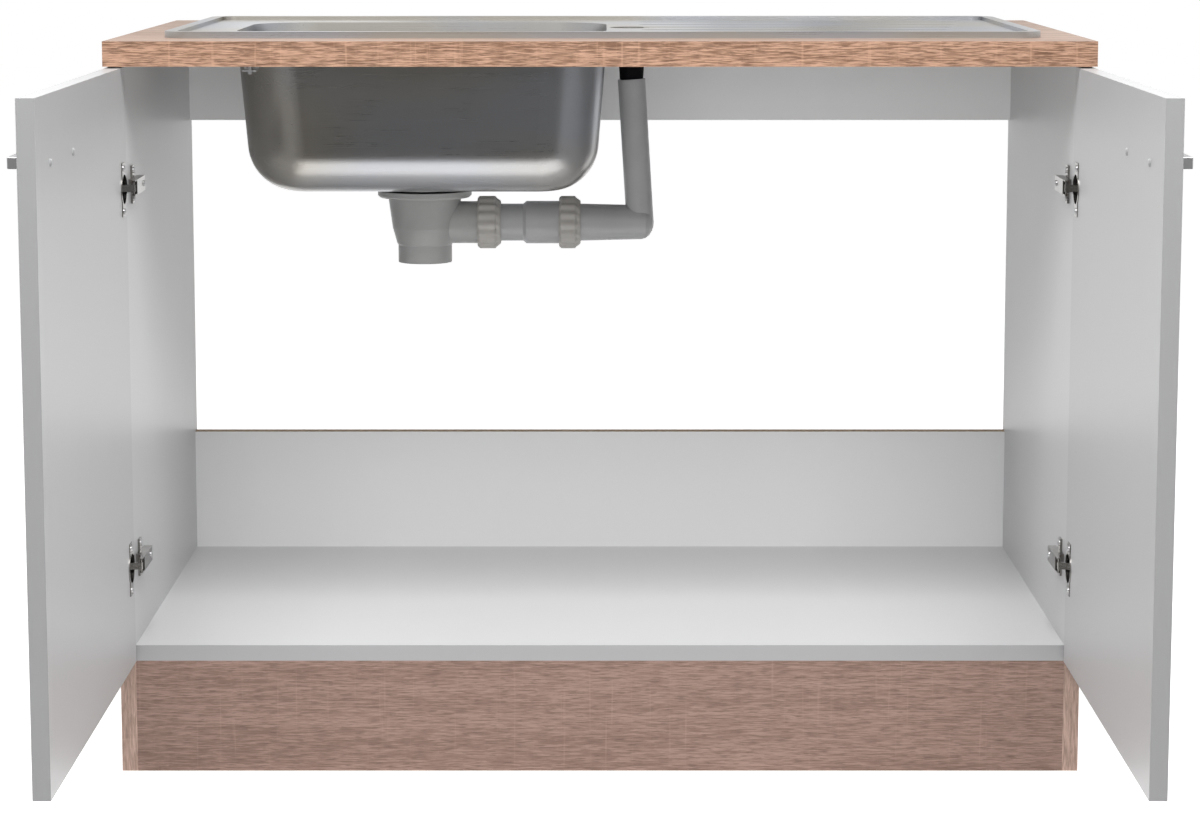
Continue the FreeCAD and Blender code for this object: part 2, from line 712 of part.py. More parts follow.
GASKET_RADIUS = "(drain_hole + waste_gasket_width)"
FLANGE_RADIUS = f"({GASKET_RADIUS} + waste_flange_lap)"
THROAT_RADIUS = "(drain_hole - strainer_throat_gap)"
MOUTH_RADIUS = f"({THROAT_RADIUS} - strainer_throat_taper)"
FOOT_RADIUS = f"({MOUTH_RADIUS} - strainer_cup_taper)"
SHOULDER_RADIUS = f"({MOUTH_RADIUS} + waste_mouth_room + waste_wall)"
WAIST_RADIUS = f"({FOOT_RADIUS} + waste_foot_room + waste_wall)"
node("waste_gasket", ring("waste_gasket", DRAIN, GASKET_RADIUS, "drain_hole",
                          down("waste_gasket"), DRAIN_UNDER))
SHOULDER = down("waste_gasket + waste_flange")
waste_shell = turned("waste_shell", "z", (*DRAIN, "0"), [
    (f"{SHOULDER_RADIUS} - waste_wall", down("waste_gasket")),
    (FLANGE_RADIUS, down("waste_gasket")),
    (FLANGE_RADIUS, f"{SHOULDER} + waste_wall"),
    (f"{FLANGE_RADIUS} - waste_wall", SHOULDER),
    (SHOULDER_RADIUS, SHOULDER),
    (WAIST_RADIUS, down("waste_waist_drop")),
    ("waste_cone_radius", down("waste_cone_drop")),
    ("waste_collar_radius", down("waste_cone_drop + waste_wall")),
    ("waste_collar_radius", down("waste_collar_drop")),
    ("waste_collar_radius - waste_wall", down("waste_collar_drop")),
    ("waste_collar_radius - waste_wall", down("waste_cone_drop")),
    (f"{WAIST_RADIUS} - waste_wall", down("waste_waist_drop")),
])
BRANCH_Z = down("branch_drop")
# places along the branch, each as a distance from the middle of the drain
SPIGOT_START = "(branch_end - spigot_in_branch)"
SOCKET_START = "(branch_end + coupling_neck)"
SOCKET_END = f"({SOCKET_START} + socket_length)"
ELBOW_START = f"({SOCKET_END} - elbow_in_socket)"


def along_branch(distance):
    """An X position along the overflow branch, measured from the middle of the drain."""
    return f"{DRAIN_X} + {distance}"


BRANCH = (*DRAIN, BRANCH_Z)
branch_wall = rod("branch_wall", "x", BRANCH, "branch_radius", "branch_end")
waste_hollow = turned("waste_hollow", "z", (*DRAIN, "0"), [
    ("0", down("waste_gasket")),
    (f"{SHOULDER_RADIUS} - waste_wall", down("waste_gasket")),
    (f"{WAIST_RADIUS} - waste_wall", down("waste_waist_drop")),
    ("waste_collar_radius - waste_wall", down("waste_cone_drop")),
    ("waste_collar_radius - waste_wall", down("waste_collar_drop")),
    ("0", down("waste_collar_drop")),
])
branch_hollow = rod("branch_hollow", "x", BRANCH, "spigot_radius - pipe_wall", "branch_end")
branch_socket = rod("branch_socket", "x", (along_branch(SPIGOT_START), DRAIN_Y, BRANCH_Z),
                    "spigot_radius + pipe_gap", "spigot_in_branch")
outside = fuse("waste_outside", waste_shell, branch_wall)
hollow = fuse("waste_inside", waste_hollow, branch_hollow, branch_socket)
BRIDGE_TOP = down("waste_bridge_drop")
bridge = box("waste_bridge",
             (f"{DRAIN_X} - waste_bridge_width/2", f"{DRAIN_X} + waste_bridge_width/2"),
             (f"{DRAIN_Y} - {WAIST_RADIUS} + waste_wall/2",
              f"{DRAIN_Y} + {WAIST_RADIUS} - waste_wall/2"),
             (f"{BRIDGE_TOP} - waste_bridge", BRIDGE_TOP))
screw_way = rod("strainer_screw_way", "z", (*DRAIN, f"{BRIDGE_TOP} - 2*waste_bridge"),
                "strainer_screw_radius + pin_tight_gap", "3*waste_bridge")
shell = cut("waste_open", outside, hollow)
node("waste_body", cut("waste_body", fuse("waste_bridged", shell, bridge), screw_way))

SEAT = f"({DRAIN_FLOOR} + strainer_seal)"
CUP_FLOOR = f"({DRAIN_FLOOR} - strainer_drop)"
node("strainer_seal", ring("strainer_seal", DRAIN, STRAINER_FLANGE, "drain_hole",
                           DRAIN_FLOOR, SEAT))
strainer_cup = turned("strainer_cup", "z", (*DRAIN, "0"), [
    ("0", CUP_FLOOR),
    (FOOT_RADIUS, CUP_FLOOR),
    (MOUTH_RADIUS, f"{DRAIN_UNDER} - waste_gasket"),
    (THROAT_RADIUS, SEAT),
    (STRAINER_FLANGE, SEAT),
    (STRAINER_FLANGE, f"{SEAT} + sheet"),
    (f"{THROAT_RADIUS} - sheet", f"{SEAT} + sheet"),
    (f"{MOUTH_RADIUS} - sheet", f"{DRAIN_UNDER} - waste_gasket"),
    (f"{FOOT_RADIUS} - sheet", f"{CUP_FLOOR} + sheet"),
    ("0", f"{CUP_FLOOR} + sheet"),
])


def ring_of_holes(name, count, ring_radius, radius, low, depth):
    """Upright holes on a circle about the drain."""
    holes = []
    for index in range(count):
        turn = f"{360 * index / count}"
        at = (f"{DRAIN_X} + {ring_radius}*cos({turn})", f"{DRAIN_Y} + {ring_radius}*sin({turn})",
              low)
        holes.append(rod(name, "z", at, radius, depth))
    return holes


strainer_holes = ring_of_holes("strainer_hole", SIZES["strainer_hole_count"],
                               "strainer_hole_ring", "strainer_hole_radius",
                               f"{CUP_FLOOR} - sheet", "3*sheet")
strainer_middle = rod("strainer_middle", "z", (*DRAIN, f"{CUP_FLOOR} - sheet"),
                      "strainer_screw_radius + pin_tight_gap", "3*sheet")
node("strainer_body", cut("strainer_body", strainer_cup, strainer_middle, *strainer_holes))
HEAD = f"({CUP_FLOOR} + sheet)"
node("strainer_screw", turned("strainer_screw", "z", (*DRAIN, "0"), [
    ("0", f"{BRIDGE_TOP} - waste_bridge - sheet"),
    ("strainer_screw_radius", f"{BRIDGE_TOP} - waste_bridge - sheet"),
    ("strainer_screw_radius", HEAD),
    ("2*strainer_screw_radius", HEAD),
    ("2*strainer_screw_radius", f"{HEAD} + strainer_screw_head/2"),
    ("strainer_screw_radius", f"{HEAD} + strainer_screw_head"),
    ("0", f"{HEAD} + strainer_screw_head"),
]))

BASKET_FLOOR = f"({SEAT} - basket_floor + sheet)"
BASKET_TOP = f"({SEAT} - basket_rim_drop)"
BASKET_RADIUS = f"({FOOT_RADIUS} - basket_gap)"
basket_cup = turned("basket_cup", "z", (*DRAIN, "0"), [
    ("0", BASKET_FLOOR),
    (f"{BASKET_RADIUS} - 3*sheet", BASKET_FLOOR),
    (BASKET_RADIUS, f"{BASKET_FLOOR} + 3*sheet"),
    (BASKET_RADIUS, BASKET_TOP),
    (f"{BASKET_RADIUS} - sheet", BASKET_TOP),
    (f"{BASKET_RADIUS} - sheet", f"{BASKET_FLOOR} + 3*sheet"),
    (f"{BASKET_RADIUS} - 4*sheet", f"{BASKET_FLOOR} + sheet"),
    ("0", f"{BASKET_FLOOR} + sheet"),
])
HOLE_LOW, HOLE_DEEP = f"{BASKET_FLOOR} - sheet", "3*sheet"
basket_holes = ring_of_holes("basket_hole_outer", 16, "basket_ring_outer",
                             "basket_hole_radius", HOLE_LOW, HOLE_DEEP)
basket_holes += ring_of_holes("basket_hole_inner", 8, "basket_ring_inner",
                              "basket_hole_radius", HOLE_LOW, HOLE_DEEP)
stem_way = rod("stem_way", "z", (*DRAIN, HOLE_LOW), "knob_stem_radius + pin_tight_gap",
               HOLE_DEEP)
node("strainer_basket", cut("strainer_basket", basket_cup, stem_way, *basket_holes))
PLUG_LOW = f"({CUP_FLOOR} + sheet + pipe_gap)"
node("basket_knob", turned("basket_knob", "z", (*DRAIN, "0"), [
    ("0", BASKET_FLOOR),
    ("knob_stem_radius", BASKET_FLOOR),
    ("knob_stem_radius", f"{SEAT} + knob_rise/2"),
    ("knob_radius", f"{SEAT} + knob_rise"),
    ("knob_radius - sheet", f"{SEAT} + knob_rise + 2*sheet"),
    ("0", f"{SEAT} + knob_rise + 2*sheet"),
]))
node("basket_plug", ring("basket_plug", DRAIN, "basket_ring_inner - basket_hole_radius - sheet",
                         "knob_radius", PLUG_LOW, BASKET_FLOOR))

# ---------------------------------------------------------------- overflow branch


def nut(name, start, length, wide, narrow):
    """A ribbed union nut: it screws onto the wider end and closes down on the narrower pipe."""
    begin = along_branch(start)
    blank = turned(name + "_blank", "x", (begin, DRAIN_Y, BRANCH_Z), [
        (f"{wide} + pipe_gap", "0"),
        ("nut_radius - nut_bevel/2", "0"),
        ("nut_radius", "nut_bevel/2"),
        ("nut_radius", f"{length} - nut_bevel"),
        ("nut_radius - nut_bevel", length),
        (f"{narrow} + pipe_gap", length),
        (f"{narrow} + pipe_gap", f"{length} - nut_bevel"),
        (f"{wide} + pipe_gap", f"{length} - nut_bevel"),
    ])
    flutes = []
    count = SIZES["nut_rib_count"]
    for index in range(count):
        turn = f"{360 * index / count}"
        at = (begin, f"{DRAIN_Y} + nut_radius*cos({turn})", f"{BRANCH_Z} + nut_radius*sin({turn})")
        flutes.append(rod("nut_flute", "x", at, "nut_rib_radius", length))
    return node(name, cut(name, blank, *flutes))


nut("union_nut_inner", "(branch_end - nut_on_branch)", "nut_length", "branch_radius",
    "spigot_radius")
nut("union_nut_outer", f"({SOCKET_END} - nut_on_socket)", "nut_second_length", "socket_radius",
    "spigot_radius")


def sealing_ring(start, outer):
    return turned("sealing_ring", "x", (along_branch(start), DRAIN_Y, BRANCH_Z), [
        ("spigot_radius + pipe_gap", "0"), (outer, "0"), (outer, "ring_thick"),
        ("spigot_radius + pipe_gap", "ring_thick")])


node("sealing_rings", group("sealing_rings", [sealing_ring("branch_end", "branch_radius"),
                                              sealing_ring(SOCKET_END, "socket_radius")]))
node("coupling_pipe", turned("coupling_pipe", "x", (along_branch("0"), DRAIN_Y, BRANCH_Z), [
    ("spigot_radius - pipe_wall", SPIGOT_START),
    ("spigot_radius", SPIGOT_START),
    ("spigot_radius", SOCKET_START),
    ("socket_radius", f"{SOCKET_START} + nut_bevel"),
    ("socket_radius", SOCKET_END),
    ("spigot_radius + pipe_gap", SOCKET_END),
    ("spigot_radius + pipe_gap", f"{ELBOW_START} - pipe_gap"),
    ("spigot_radius - pipe_wall", f"{ELBOW_START} - pipe_gap"),
]))

# The riser is hung from its upper end, which stands under the well in the deck.
BOOT_TOP = f"({DECK_TOP} - overflow_depth - sheet)"
PIPE_TOP = f"({BOOT_TOP} - riser_top_drop)"
PIPE_TOP_X = f"({OVERFLOW_X} + riser_top_out)"
RISER_LENGTH = f"(({PIPE_TOP} - {BRANCH_Z})/cos(elbow_lean))"
ELBOW_X = f"({PIPE_TOP_X} + {RISER_LENGTH}*sin(elbow_lean))"
ELBOW = (ELBOW_X, DRAIN_Y, BRANCH_Z)
ELBOW_FAR = f"({ELBOW_X} - {DRAIN_X} + elbow_cap_out)"
LEAN = Rotation(Vector(0, 1, 0), -SIZES["elbow_lean"])
CAP_ANGLES = (0, 20, 40, 60, 78)


def elbow(name, inset):
    """The elbow less the inset on every side: an arm with a domed end and a leaning riser."""
    arm = turned(name + "_arm", "x", (along_branch("0"), DRAIN_Y, BRANCH_Z), [
        ("0", ELBOW_START),
        (f"spigot_radius - {inset}", ELBOW_START),
        (f"spigot_radius - {inset}", f"{SOCKET_END} + elbow_straight"),
        *((f"(elbow_far_radius - {inset})*cos({angle})",
           f"{ELBOW_FAR} + (elbow_cap - {inset})*sin({angle})") for angle in CAP_ANGLES),
        ("0", f"{ELBOW_FAR} + elbow_cap - {inset}"),
    ])
    riser = rod(name + "_riser", "z", ELBOW, f"riser_radius - {inset}", RISER_LENGTH)
    riser.Placement.Rotation = LEAN
    return fuse(name + "_whole", arm, riser)


node("overflow_pipe", cut("overflow_pipe", elbow("elbow_outside", "0"),
                          elbow("elbow_inside", "pipe_wall")))

boot_neck = doc.addObject("Part::Cone", "boot_neck")
BOOT_LENGTH = f"({BOOT_TOP} - boot_rim - {PIPE_TOP})"
bind(boot_neck, Radius1="boot_neck_radius", Radius2="boot_top_radius", Height=BOOT_LENGTH)
place(boot_neck, (PIPE_TOP_X, DRAIN_Y, PIPE_TOP))
PLUG_FOOT = (f"{PIPE_TOP_X} + boot_in_pipe*sin(elbow_lean)", DRAIN_Y,
             f"{PIPE_TOP} - boot_in_pipe*cos(elbow_lean)")
boot_plug = rod("boot_plug", "z", PLUG_FOOT, "riser_radius - pipe_wall - pipe_gap",
                "boot_in_pipe")
boot_plug.Placement.Rotation = LEAN
boot_bore = rod("boot_bore", "z", (PIPE_TOP_X, DRAIN_Y, f"{PIPE_TOP} - 2*boot_in_pipe"),
                "boot_neck_radius - boot_wall", f"{BOOT_TOP} - {PIPE_TOP} + 3*boot_in_pipe")
boot_rim = rod("boot_rim", "z", (*WELL_AT, f"{BOOT_TOP} - boot_rim"), "boot_rim_radius",
               "boot_rim")
node("overflow_boot", cut("overflow_boot", fuse("boot_solid", boot_neck, boot_plug, boot_rim),
                          boot_bore))
COVER_LOW = f"({DECK_TOP} - overflow_depth)"
cover = rod("cover_plate", "z", (*WELL_AT, COVER_LOW), "overflow_cover_radius", "sheet")
slots = []
for index in range(8):
    turn = f"{360 * index / 8}"
    at = (f"{OVERFLOW_X} + overflow_slot_ring*cos({turn})",
          f"{DRAIN_Y} + overflow_slot_ring*sin({turn})", f"{COVER_LOW} - sheet")
    slots.append(rod("cover_slot", "z", at, "overflow_slot_radius", "3*sheet"))
cover_way = rod("cover_screw_way", "z", (*WELL_AT, f"{COVER_LOW} - sheet"),
                "screw_radius + pin_tight_gap", "3*sheet")
node("overflow_cover", cut("overflow_cover", cover, cover_way, *slots))
node("overflow_screw", turned("overflow_screw", "z", (*WELL_AT, "0"), [
    ("0", f"{COVER_LOW} - screw_length"),
    ("screw_radius", f"{COVER_LOW} - screw_length"),
    ("screw_radius", f"{COVER_LOW} + sheet"),
    ("screw_head_radius", f"{COVER_LOW} + sheet"),
    ("screw_head_radius - sheet", f"{COVER_LOW} + sheet + screw_head_height"),
    ("0", f"{COVER_LOW} + sheet + screw_head_height"),
]))

# ---------------------------------------------------------------- doors, hinges and handles

DOOR_FACE = "(door_side_set + door_thick)"
DOOR_EDGE = f"({FRONT} - door_front_gap)"
DOOR_FREE = f"({DOOR_EDGE} - ({HALF} - door_middle_room))"
CUP_Y = f"({DOOR_EDGE} - cup_centre_from_edge)"
CUP_PIN_Y = f"({DOOR_EDGE} - cup_pivot_from_edge)"
CUP_PIN_S = f"({DOOR_FACE} - cup_pivot_depth)"
CUP_CHORD = "sqrt((cup_radius - cup_wall)^2 - (cup_centre_from_edge - cup_pivot_from_edge)^2)"
CUP_PIN_HALF = f"({CUP_CHORD} + cup_pin_bite)"
ARM_PIN_Y = f"({FRONT} - arm_pivot_out)"
ARM_PIN_S = "(board + arm_pivot_in)"
HANDLE_Z = f"({DOOR_TOP} - handle_below_top)"
HANDLE_NEAR = f"({DOOR_FREE} + handle_from_free_edge)"
HANDLE_FAR = f"({HANDLE_NEAR} + handle_length)"
HANDLE_ENDS = (f"{HANDLE_NEAR} + handle_section/2", f"{HANDLE_FAR} - handle_section/2")
OUT = {-1: "-x", 1: "x"}
BACK_IN = {-1: "x", 1: "-x"}


def screw(name, axis, at, radius, head_radius, head_height, length):
    """A screw whose head stands on the plane at height 0, the shank running below it."""
    return turned(name, axis, at, [
        ("0", f"-({length})"), (radius, f"-({length})"), (radius, "0"), (head_radius, "0"),
        (head_radius, f"{head_height}/2"), (f"{head_radius} - {head_height}/2", head_height),
        ("0", head_height)])


def arm_outline(side, low, high):
    """The hinge arm's side view: a long bar that narrows to a nose round its pivot."""
    plan = [
        (f"board + {low}", f"{FRONT} + arm_back"),
        (f"board + {low}", f"{FRONT} + arm_shoulder"),
        (f"{ARM_PIN_S} - arm_nose_radius", f"{FRONT} + arm_throat"),
        (f"{ARM_PIN_S} - arm_nose_radius", ARM_PIN_Y),
        (f"{ARM_PIN_S} - arm_nose_radius*cos(45)", f"{ARM_PIN_Y} - arm_nose_radius*sin(45)"),
        (ARM_PIN_S, f"{ARM_PIN_Y} - arm_nose_radius"),
        (f"{ARM_PIN_S} + arm_nose_radius*cos(45)", f"{ARM_PIN_Y} - arm_nose_radius*sin(45)"),
        (f"{ARM_PIN_S} + arm_nose_radius", ARM_PIN_Y),
        (f"{ARM_PIN_S} + arm_nose_radius", f"{FRONT} - arm_throat"),
        (f"board + {high}", f"{FRONT}"),
        (f"board + {high}", f"{FRONT} + arm_back"),
    ]
    return [(inward(side, s), y) for s, y in plan]


LINK_RUN = (f"({CUP_PIN_S} - {ARM_PIN_S})", f"({CUP_PIN_Y} - {ARM_PIN_Y})")
LINK_SPAN = f"sqrt({LINK_RUN[0]}^2 + {LINK_RUN[1]}^2)"
SLOT_NEAR = f"({LINK_SPAN} - slot_inwards)"
SLOT_FAR = f"({LINK_SPAN} + slot_outwards)"


def link_bar(name, side, near, far, radius, z):
    """A flat bar with round ends along the line from the arm's pin to the cup's pin. Its ends
    are given as distances from the arm's pin."""
    run_s, run_y = (f"{run}/{LINK_SPAN}" for run in LINK_RUN)
    spots = [(f"{ARM_PIN_S} + {along}*{run_s}", f"{ARM_PIN_Y} + {along}*{run_y}")
             for along in (near, far)]
    corners = [(spot, way) for spot, way in zip(spots + spots[::-1], "--++")]
    outline = [(inward(side, f"{s} {way} ({radius})*{run_y}"),
                f"{y} {'+' if way == '-' else '-'} ({radius})*{run_s}")
               for (s, y), way in corners]
    ends = [rod(name + "_end", "z", (inward(side, s), y, z[0]), radius, f"{z[1]} - ({z[0]})")
            for s, y in spots]
    return fuse(name, padded(name + "_middle", outline, *z), *ends)


plates, plate_screws, arm_screws, arm_pins = [], [], [], []
for side_name, side in SIDES:
    door_holes, cup_pins, cup_screws = [], [], []
    for hinge_name, z in HINGES:
        tag = f"{side_name}_{hinge_name}"
        # mounting plate on the side panel
        wings = box("plate_wings", across(side, "board", "board + plate_thick"),
                    (f"{FRONT} + plate_front", f"{FRONT} + plate_back"),
                    (f"{z} - plate_height/2", f"{z} + plate_height/2"))
        core_half = "(arm_half_height - arm_sheet - plate_core_gap)"
        core = box("plate_core",
                   across(side, "board", "board + arm_top - arm_sheet"),
                   (f"{FRONT} + plate_core_front", f"{FRONT} + arm_back"),
                   (f"{z} - {core_half}", f"{z} + {core_half}"))
        holes = []
        reach = "screw_radius + pin_tight_gap"
        for sign in (-1, 1):
            height = f"{z} + {sign}*plate_screw_spacing/2"
            y = f"{FRONT} + plate_screw_setback"
            at = (inward(side, "board + plate_thick"), y, height)
            holes.append(rod("plate_hole", OUT[side], at, reach, "plate_thick"))
            plate_screws.append(screw("plate_screw", BACK_IN[side], at, "screw_radius",
                                      "screw_head_radius", "screw_head_height",
                                      "screw_length + plate_thick"))
        arm_screw_at = (inward(side, "board + arm_top"), f"{FRONT} + arm_screw_setback", z)
        holes.append(rod("core_hole", OUT[side], arm_screw_at, reach, "arm_top"))
        arm_screws.append(screw("arm_screw", BACK_IN[side], arm_screw_at, "screw_radius",
                                "screw_head_radius", "screw_head_height", "arm_top - sheet"))
        plates.append(cut("mounting_plate", fuse("plate_blank", wings, core), *holes))
        # arm, a channel that straddles the plate's core and carries the front pivot
        arm_low, arm_high = f"{z} - arm_half_height", f"{z} + arm_half_height"
        arm_bar = padded("arm_bar", arm_outline(side, "arm_foot", "arm_top"), arm_low, arm_high)
        web = across(side, "board", "board + arm_top - arm_sheet")
        room = (f"{arm_low} + arm_sheet", f"{arm_high} - arm_sheet")
        channel = box("arm_channel", web, (FRONT, f"{FRONT} + arm_back + sheet"), room)
        mouth = box("arm_mouth", across(side, "board", "board + 2*arm_top"),
                    (f"{ARM_PIN_Y} - 2*arm_nose_radius", FRONT), room)
        pin_way = rod("arm_pin_way", "z", (inward(side, ARM_PIN_S), ARM_PIN_Y, arm_low),
                      "pin_radius + pin_tight_gap", "2*arm_half_height")
        arm_way = rod("arm_screw_way", OUT[side], arm_screw_at, reach, "2*arm_sheet")
        node(f"hinge_arm_{tag}", cut("hinge_arm", arm_bar, channel, mouth, pin_way, arm_way))
        arm_pins.append(rod("arm_pin", "z", (inward(side, ARM_PIN_S), ARM_PIN_Y, arm_low),
                            "pin_radius", "2*arm_half_height"))
        # link that turns on the arm's pin and takes the cup's pin in a slot
        link_z = (f"{z} - link_half_height", f"{z} + link_half_height")
        blank = link_bar("link_blank", side, "0", SLOT_FAR, "link_radius", link_z)
        slot = link_bar("link_slot", side, SLOT_NEAR, SLOT_FAR, "pin_radius + slot_side_play",
                        link_z)
        link_way = rod("link_way", "z", (inward(side, ARM_PIN_S), ARM_PIN_Y, link_z[0]),
                       "pin_radius + pin_running_gap", "2*link_half_height")
        node(f"hinge_link_{tag}", cut("hinge_link", blank, slot, link_way))
        # cup in the door, with its flange, pin and screws
        cup_at = (inward(side, DOOR_FACE), CUP_Y, z)
        cup_turned = turned("cup_shell", OUT[side], cup_at, [
            ("0", "cup_depth"), ("cup_radius", "cup_depth"), ("cup_radius", "0"),
            ("cup_radius + cup_lip", "0"), ("cup_radius + cup_lip", "-flange_thick"),
            ("cup_radius - cup_wall", "-flange_thick"),
            ("cup_radius - cup_wall", "cup_depth - cup_wall"), ("0", "cup_depth - cup_wall")])
        ears = box("cup_ears", across(side, DOOR_FACE, f"{DOOR_FACE} + flange_thick"),
                   (f"{CUP_Y} - flange_far", f"{CUP_Y} + flange_near"),
                   (f"{z} - flange_height/2", f"{z} + flange_height/2"))
        cup_mouth = rod("cup_mouth", BACK_IN[side], cup_at, "cup_radius - cup_wall",
                        "2*flange_thick")
        cup_pin_at = (inward(side, CUP_PIN_S), CUP_PIN_Y, f"{z} - {CUP_PIN_HALF}")
        cup_pins.append(rod("cup_pin", "z", cup_pin_at, "pin_radius", f"2*{CUP_PIN_HALF}"))
        cup_way = rod("cup_pin_way", "z", cup_pin_at, "pin_radius + pin_tight_gap",
                      f"2*{CUP_PIN_HALF}")
        cup_cuts = [cup_mouth, cup_way]
        for sign in (-1, 1):
            at = (inward(side, f"{DOOR_FACE} + flange_thick"), f"{CUP_Y} - cup_screw_offset",
                  f"{z} + {sign}*cup_screw_spacing/2")
            cup_cuts.append(rod("ear_hole", OUT[side], at, reach, "2*flange_thick"))
            cup_screws.append(screw("cup_screw", BACK_IN[side], at, "screw_radius",
                                    "screw_head_radius", "screw_head_height", "screw_length"))
            door_holes.append(rod("cup_pilot", OUT[side], at, "screw_radius + fixing_slack",
                                  "screw_length + fixing_slack"))
        node(f"hinge_cup_{tag}", cut("hinge_cup", fuse("cup_blank", cup_turned, ears), *cup_cuts))
        door_holes.append(rod("cup_bore", OUT[side], cup_at, "cup_radius + fixing_slack",
                              "cup_depth + fixing_slack"))
    # handle: a square bar bent into a shallow bow, screwed on through the door
    bar_out = "(door_side_set - handle_projection)"
    bow = [(bar_out, HANDLE_NEAR), (bar_out, HANDLE_FAR), ("door_side_set", HANDLE_FAR),
           ("door_side_set", f"{HANDLE_FAR} - handle_section"),
           (f"{bar_out} + handle_section", f"{HANDLE_FAR} - handle_section"),
           (f"{bar_out} + handle_section", f"{HANDLE_NEAR} + handle_section"),
           ("door_side_set", f"{HANDLE_NEAR} + handle_section"),
           ("door_side_set", HANDLE_NEAR)]
    handle_body = padded("handle_bow", [(inward(side, s), y) for s, y in bow],
                         f"{HANDLE_Z} - handle_height/2", f"{HANDLE_Z} + handle_height/2")
    doc.recompute()
    face_x = handle_body.Tip.Shape.BoundBox.XMax if side < 0 else handle_body.Tip.Shape.BoundBox.XMin
    rounded(handle_body, handle_body.Tip, "handle_edge_round",
            lambda edge: any(abs(v.X - face_x) > 1e-6 for v in edge.Vertexes))
    thread_depth = "handle_screw_in + fixing_slack"
    handle_screws, threads = [], []
    for y in HANDLE_ENDS:
        head_at = (inward(side, DOOR_FACE), y, HANDLE_Z)
        handle_screws.append(screw("handle_screw", BACK_IN[side], head_at,
                                   "handle_screw_radius", "handle_screw_head_radius",
                                   "handle_screw_head_height", "door_thick + handle_screw_in"))
        door_holes.append(rod("handle_screw_way", OUT[side], head_at,
                              "handle_screw_radius + fixing_slack", "door_thick"))
        threads.append(rod("handle_thread", OUT[side],
                           (inward(side, "door_side_set"), y, HANDLE_Z),
                           "handle_screw_radius + pin_tight_gap", thread_depth))
    node(f"handle_{side_name}", cut("handle", handle_body, *threads))
    node(f"handle_screws_{side_name}", group("handle_screws", handle_screws))
    door = box("door_board", across(side, "door_side_set", DOOR_FACE), (DOOR_FREE, DOOR_EDGE),
               (DOOR_BOTTOM, DOOR_TOP))
    node(f"door_{side_name}", cut("door", door, *door_holes))
    node(f"cup_pins_{side_name}", group("cup_pins", cup_pins))
    node(f"cup_screws_{side_name}", group("cup_screws", cup_screws))

node("mounting_plates", group("mounting_plates", plates))
node("plate_screws", group("plate_screws", plate_screws))
node("arm_screws", group("arm_screws", arm_screws))
node("arm_pins", group("arm_pins", arm_pins))

# ---------------------------------------------------------------- checks and files

doc.recompute()
for thing in doc.Objects:
    bad = [word for word in thing.State if word in ("Invalid", "Error")]
    if bad:
        raise RuntimeError(f"{thing.Label} is {bad}")
for name, thing in NODES.items():
    if thing.Shape.isNull() or not thing.Shape.isValid() or not thing.Shape.Solids:
        raise RuntimeError(f"{name} has no valid solid")
    if thing.Label != name:
        raise RuntimeError(f"{name} is labelled {thing.Label}")

os.makedirs("parts", exist_ok=True)
for name, thing in NODES.items():
    thing.Shape.exportStep(f"parts/{name}.step")
print(len(NODES), "sub-parts written")
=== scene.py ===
# %% [markdown]
# # A kitchen sink unit with its doors open
# This script dresses a ready CAD model of a kitchen base unit: white boards, an oak worktop, a
# pressed steel sink, a grey plastic waste and concealed hinges. The CAD parts are in their right
# places already. What is left is the finish of each surface, the small details that CAD leaves
# plain, the light and the camera.

# %% Load the CAD frame and measure its box
import math

import bmesh
import bpy
from mathutils import Matrix, Vector


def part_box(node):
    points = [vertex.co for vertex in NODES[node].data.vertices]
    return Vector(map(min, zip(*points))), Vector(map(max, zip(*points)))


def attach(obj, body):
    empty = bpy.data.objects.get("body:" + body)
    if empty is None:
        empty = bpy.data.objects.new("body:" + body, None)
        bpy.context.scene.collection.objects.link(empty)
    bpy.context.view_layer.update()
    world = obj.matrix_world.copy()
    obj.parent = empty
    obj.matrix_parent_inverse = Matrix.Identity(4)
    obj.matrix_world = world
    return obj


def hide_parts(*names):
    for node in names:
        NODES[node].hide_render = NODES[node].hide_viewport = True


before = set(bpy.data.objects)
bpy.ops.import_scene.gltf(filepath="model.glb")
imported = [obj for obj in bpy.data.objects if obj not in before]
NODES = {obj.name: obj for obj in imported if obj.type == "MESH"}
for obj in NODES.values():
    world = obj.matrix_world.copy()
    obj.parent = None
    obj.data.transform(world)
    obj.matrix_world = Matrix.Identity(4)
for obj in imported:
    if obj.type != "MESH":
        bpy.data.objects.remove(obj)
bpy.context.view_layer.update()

print("CAD parts loaded:", len(NODES))

# %% [markdown]
# ## A small kit for materials
# A Blender material is a graph of nodes. Writing each node and link by hand hides the idea
# behind the plumbing, so a few helpers come first: one starts a material and hands back its
# surface shader, one adds a node and wires its inputs, and one makes a colour ramp. A value
# given as a plain number or colour is set on the socket, and a value given as another node's
# output is linked.

# %% Helpers that build a node graph


def new_material(name):
    material = bpy.data.materials.new(name)
    material.use_nodes = True
    return material, material.node_tree.nodes["Principled BSDF"]


def feed(tree, socket, value):
    if isinstance(value, bpy.types.NodeSocket):
        tree.links.new(value, socket)
    else:
        socket.default_value = value


def add(tree, kind, inputs=(), **settings):
    node = tree.nodes.new(kind)
    for key, value in settings.items():
        setattr(node, key, value)
    for key, value in dict(inputs).items():
        feed(tree, node.inputs[key], value)
    return node


def ramp(tree, factor, *stops):
    node = add(tree, "ShaderNodeValToRGB", {"Fac": factor})
    points = node.color_ramp.elements
    while len(points) < len(stops):
        points.new(0.5)
    for point, (place, colour) in zip(points, stops):
        point.position = place
        point.color = (*colour, 1)
    return node.outputs["Color"]


def grey(value):
    return (value, value, value)


# %% [markdown]
# A pattern must stay glued to its piece when a door swings, so every texture here reads Object
# coordinates. Each CAD part keeps its object at the origin, so these coordinates are simply
# metres in the row's frame. Stretching them along one axis turns round noise into long fibres.

# %% Helpers for patterns


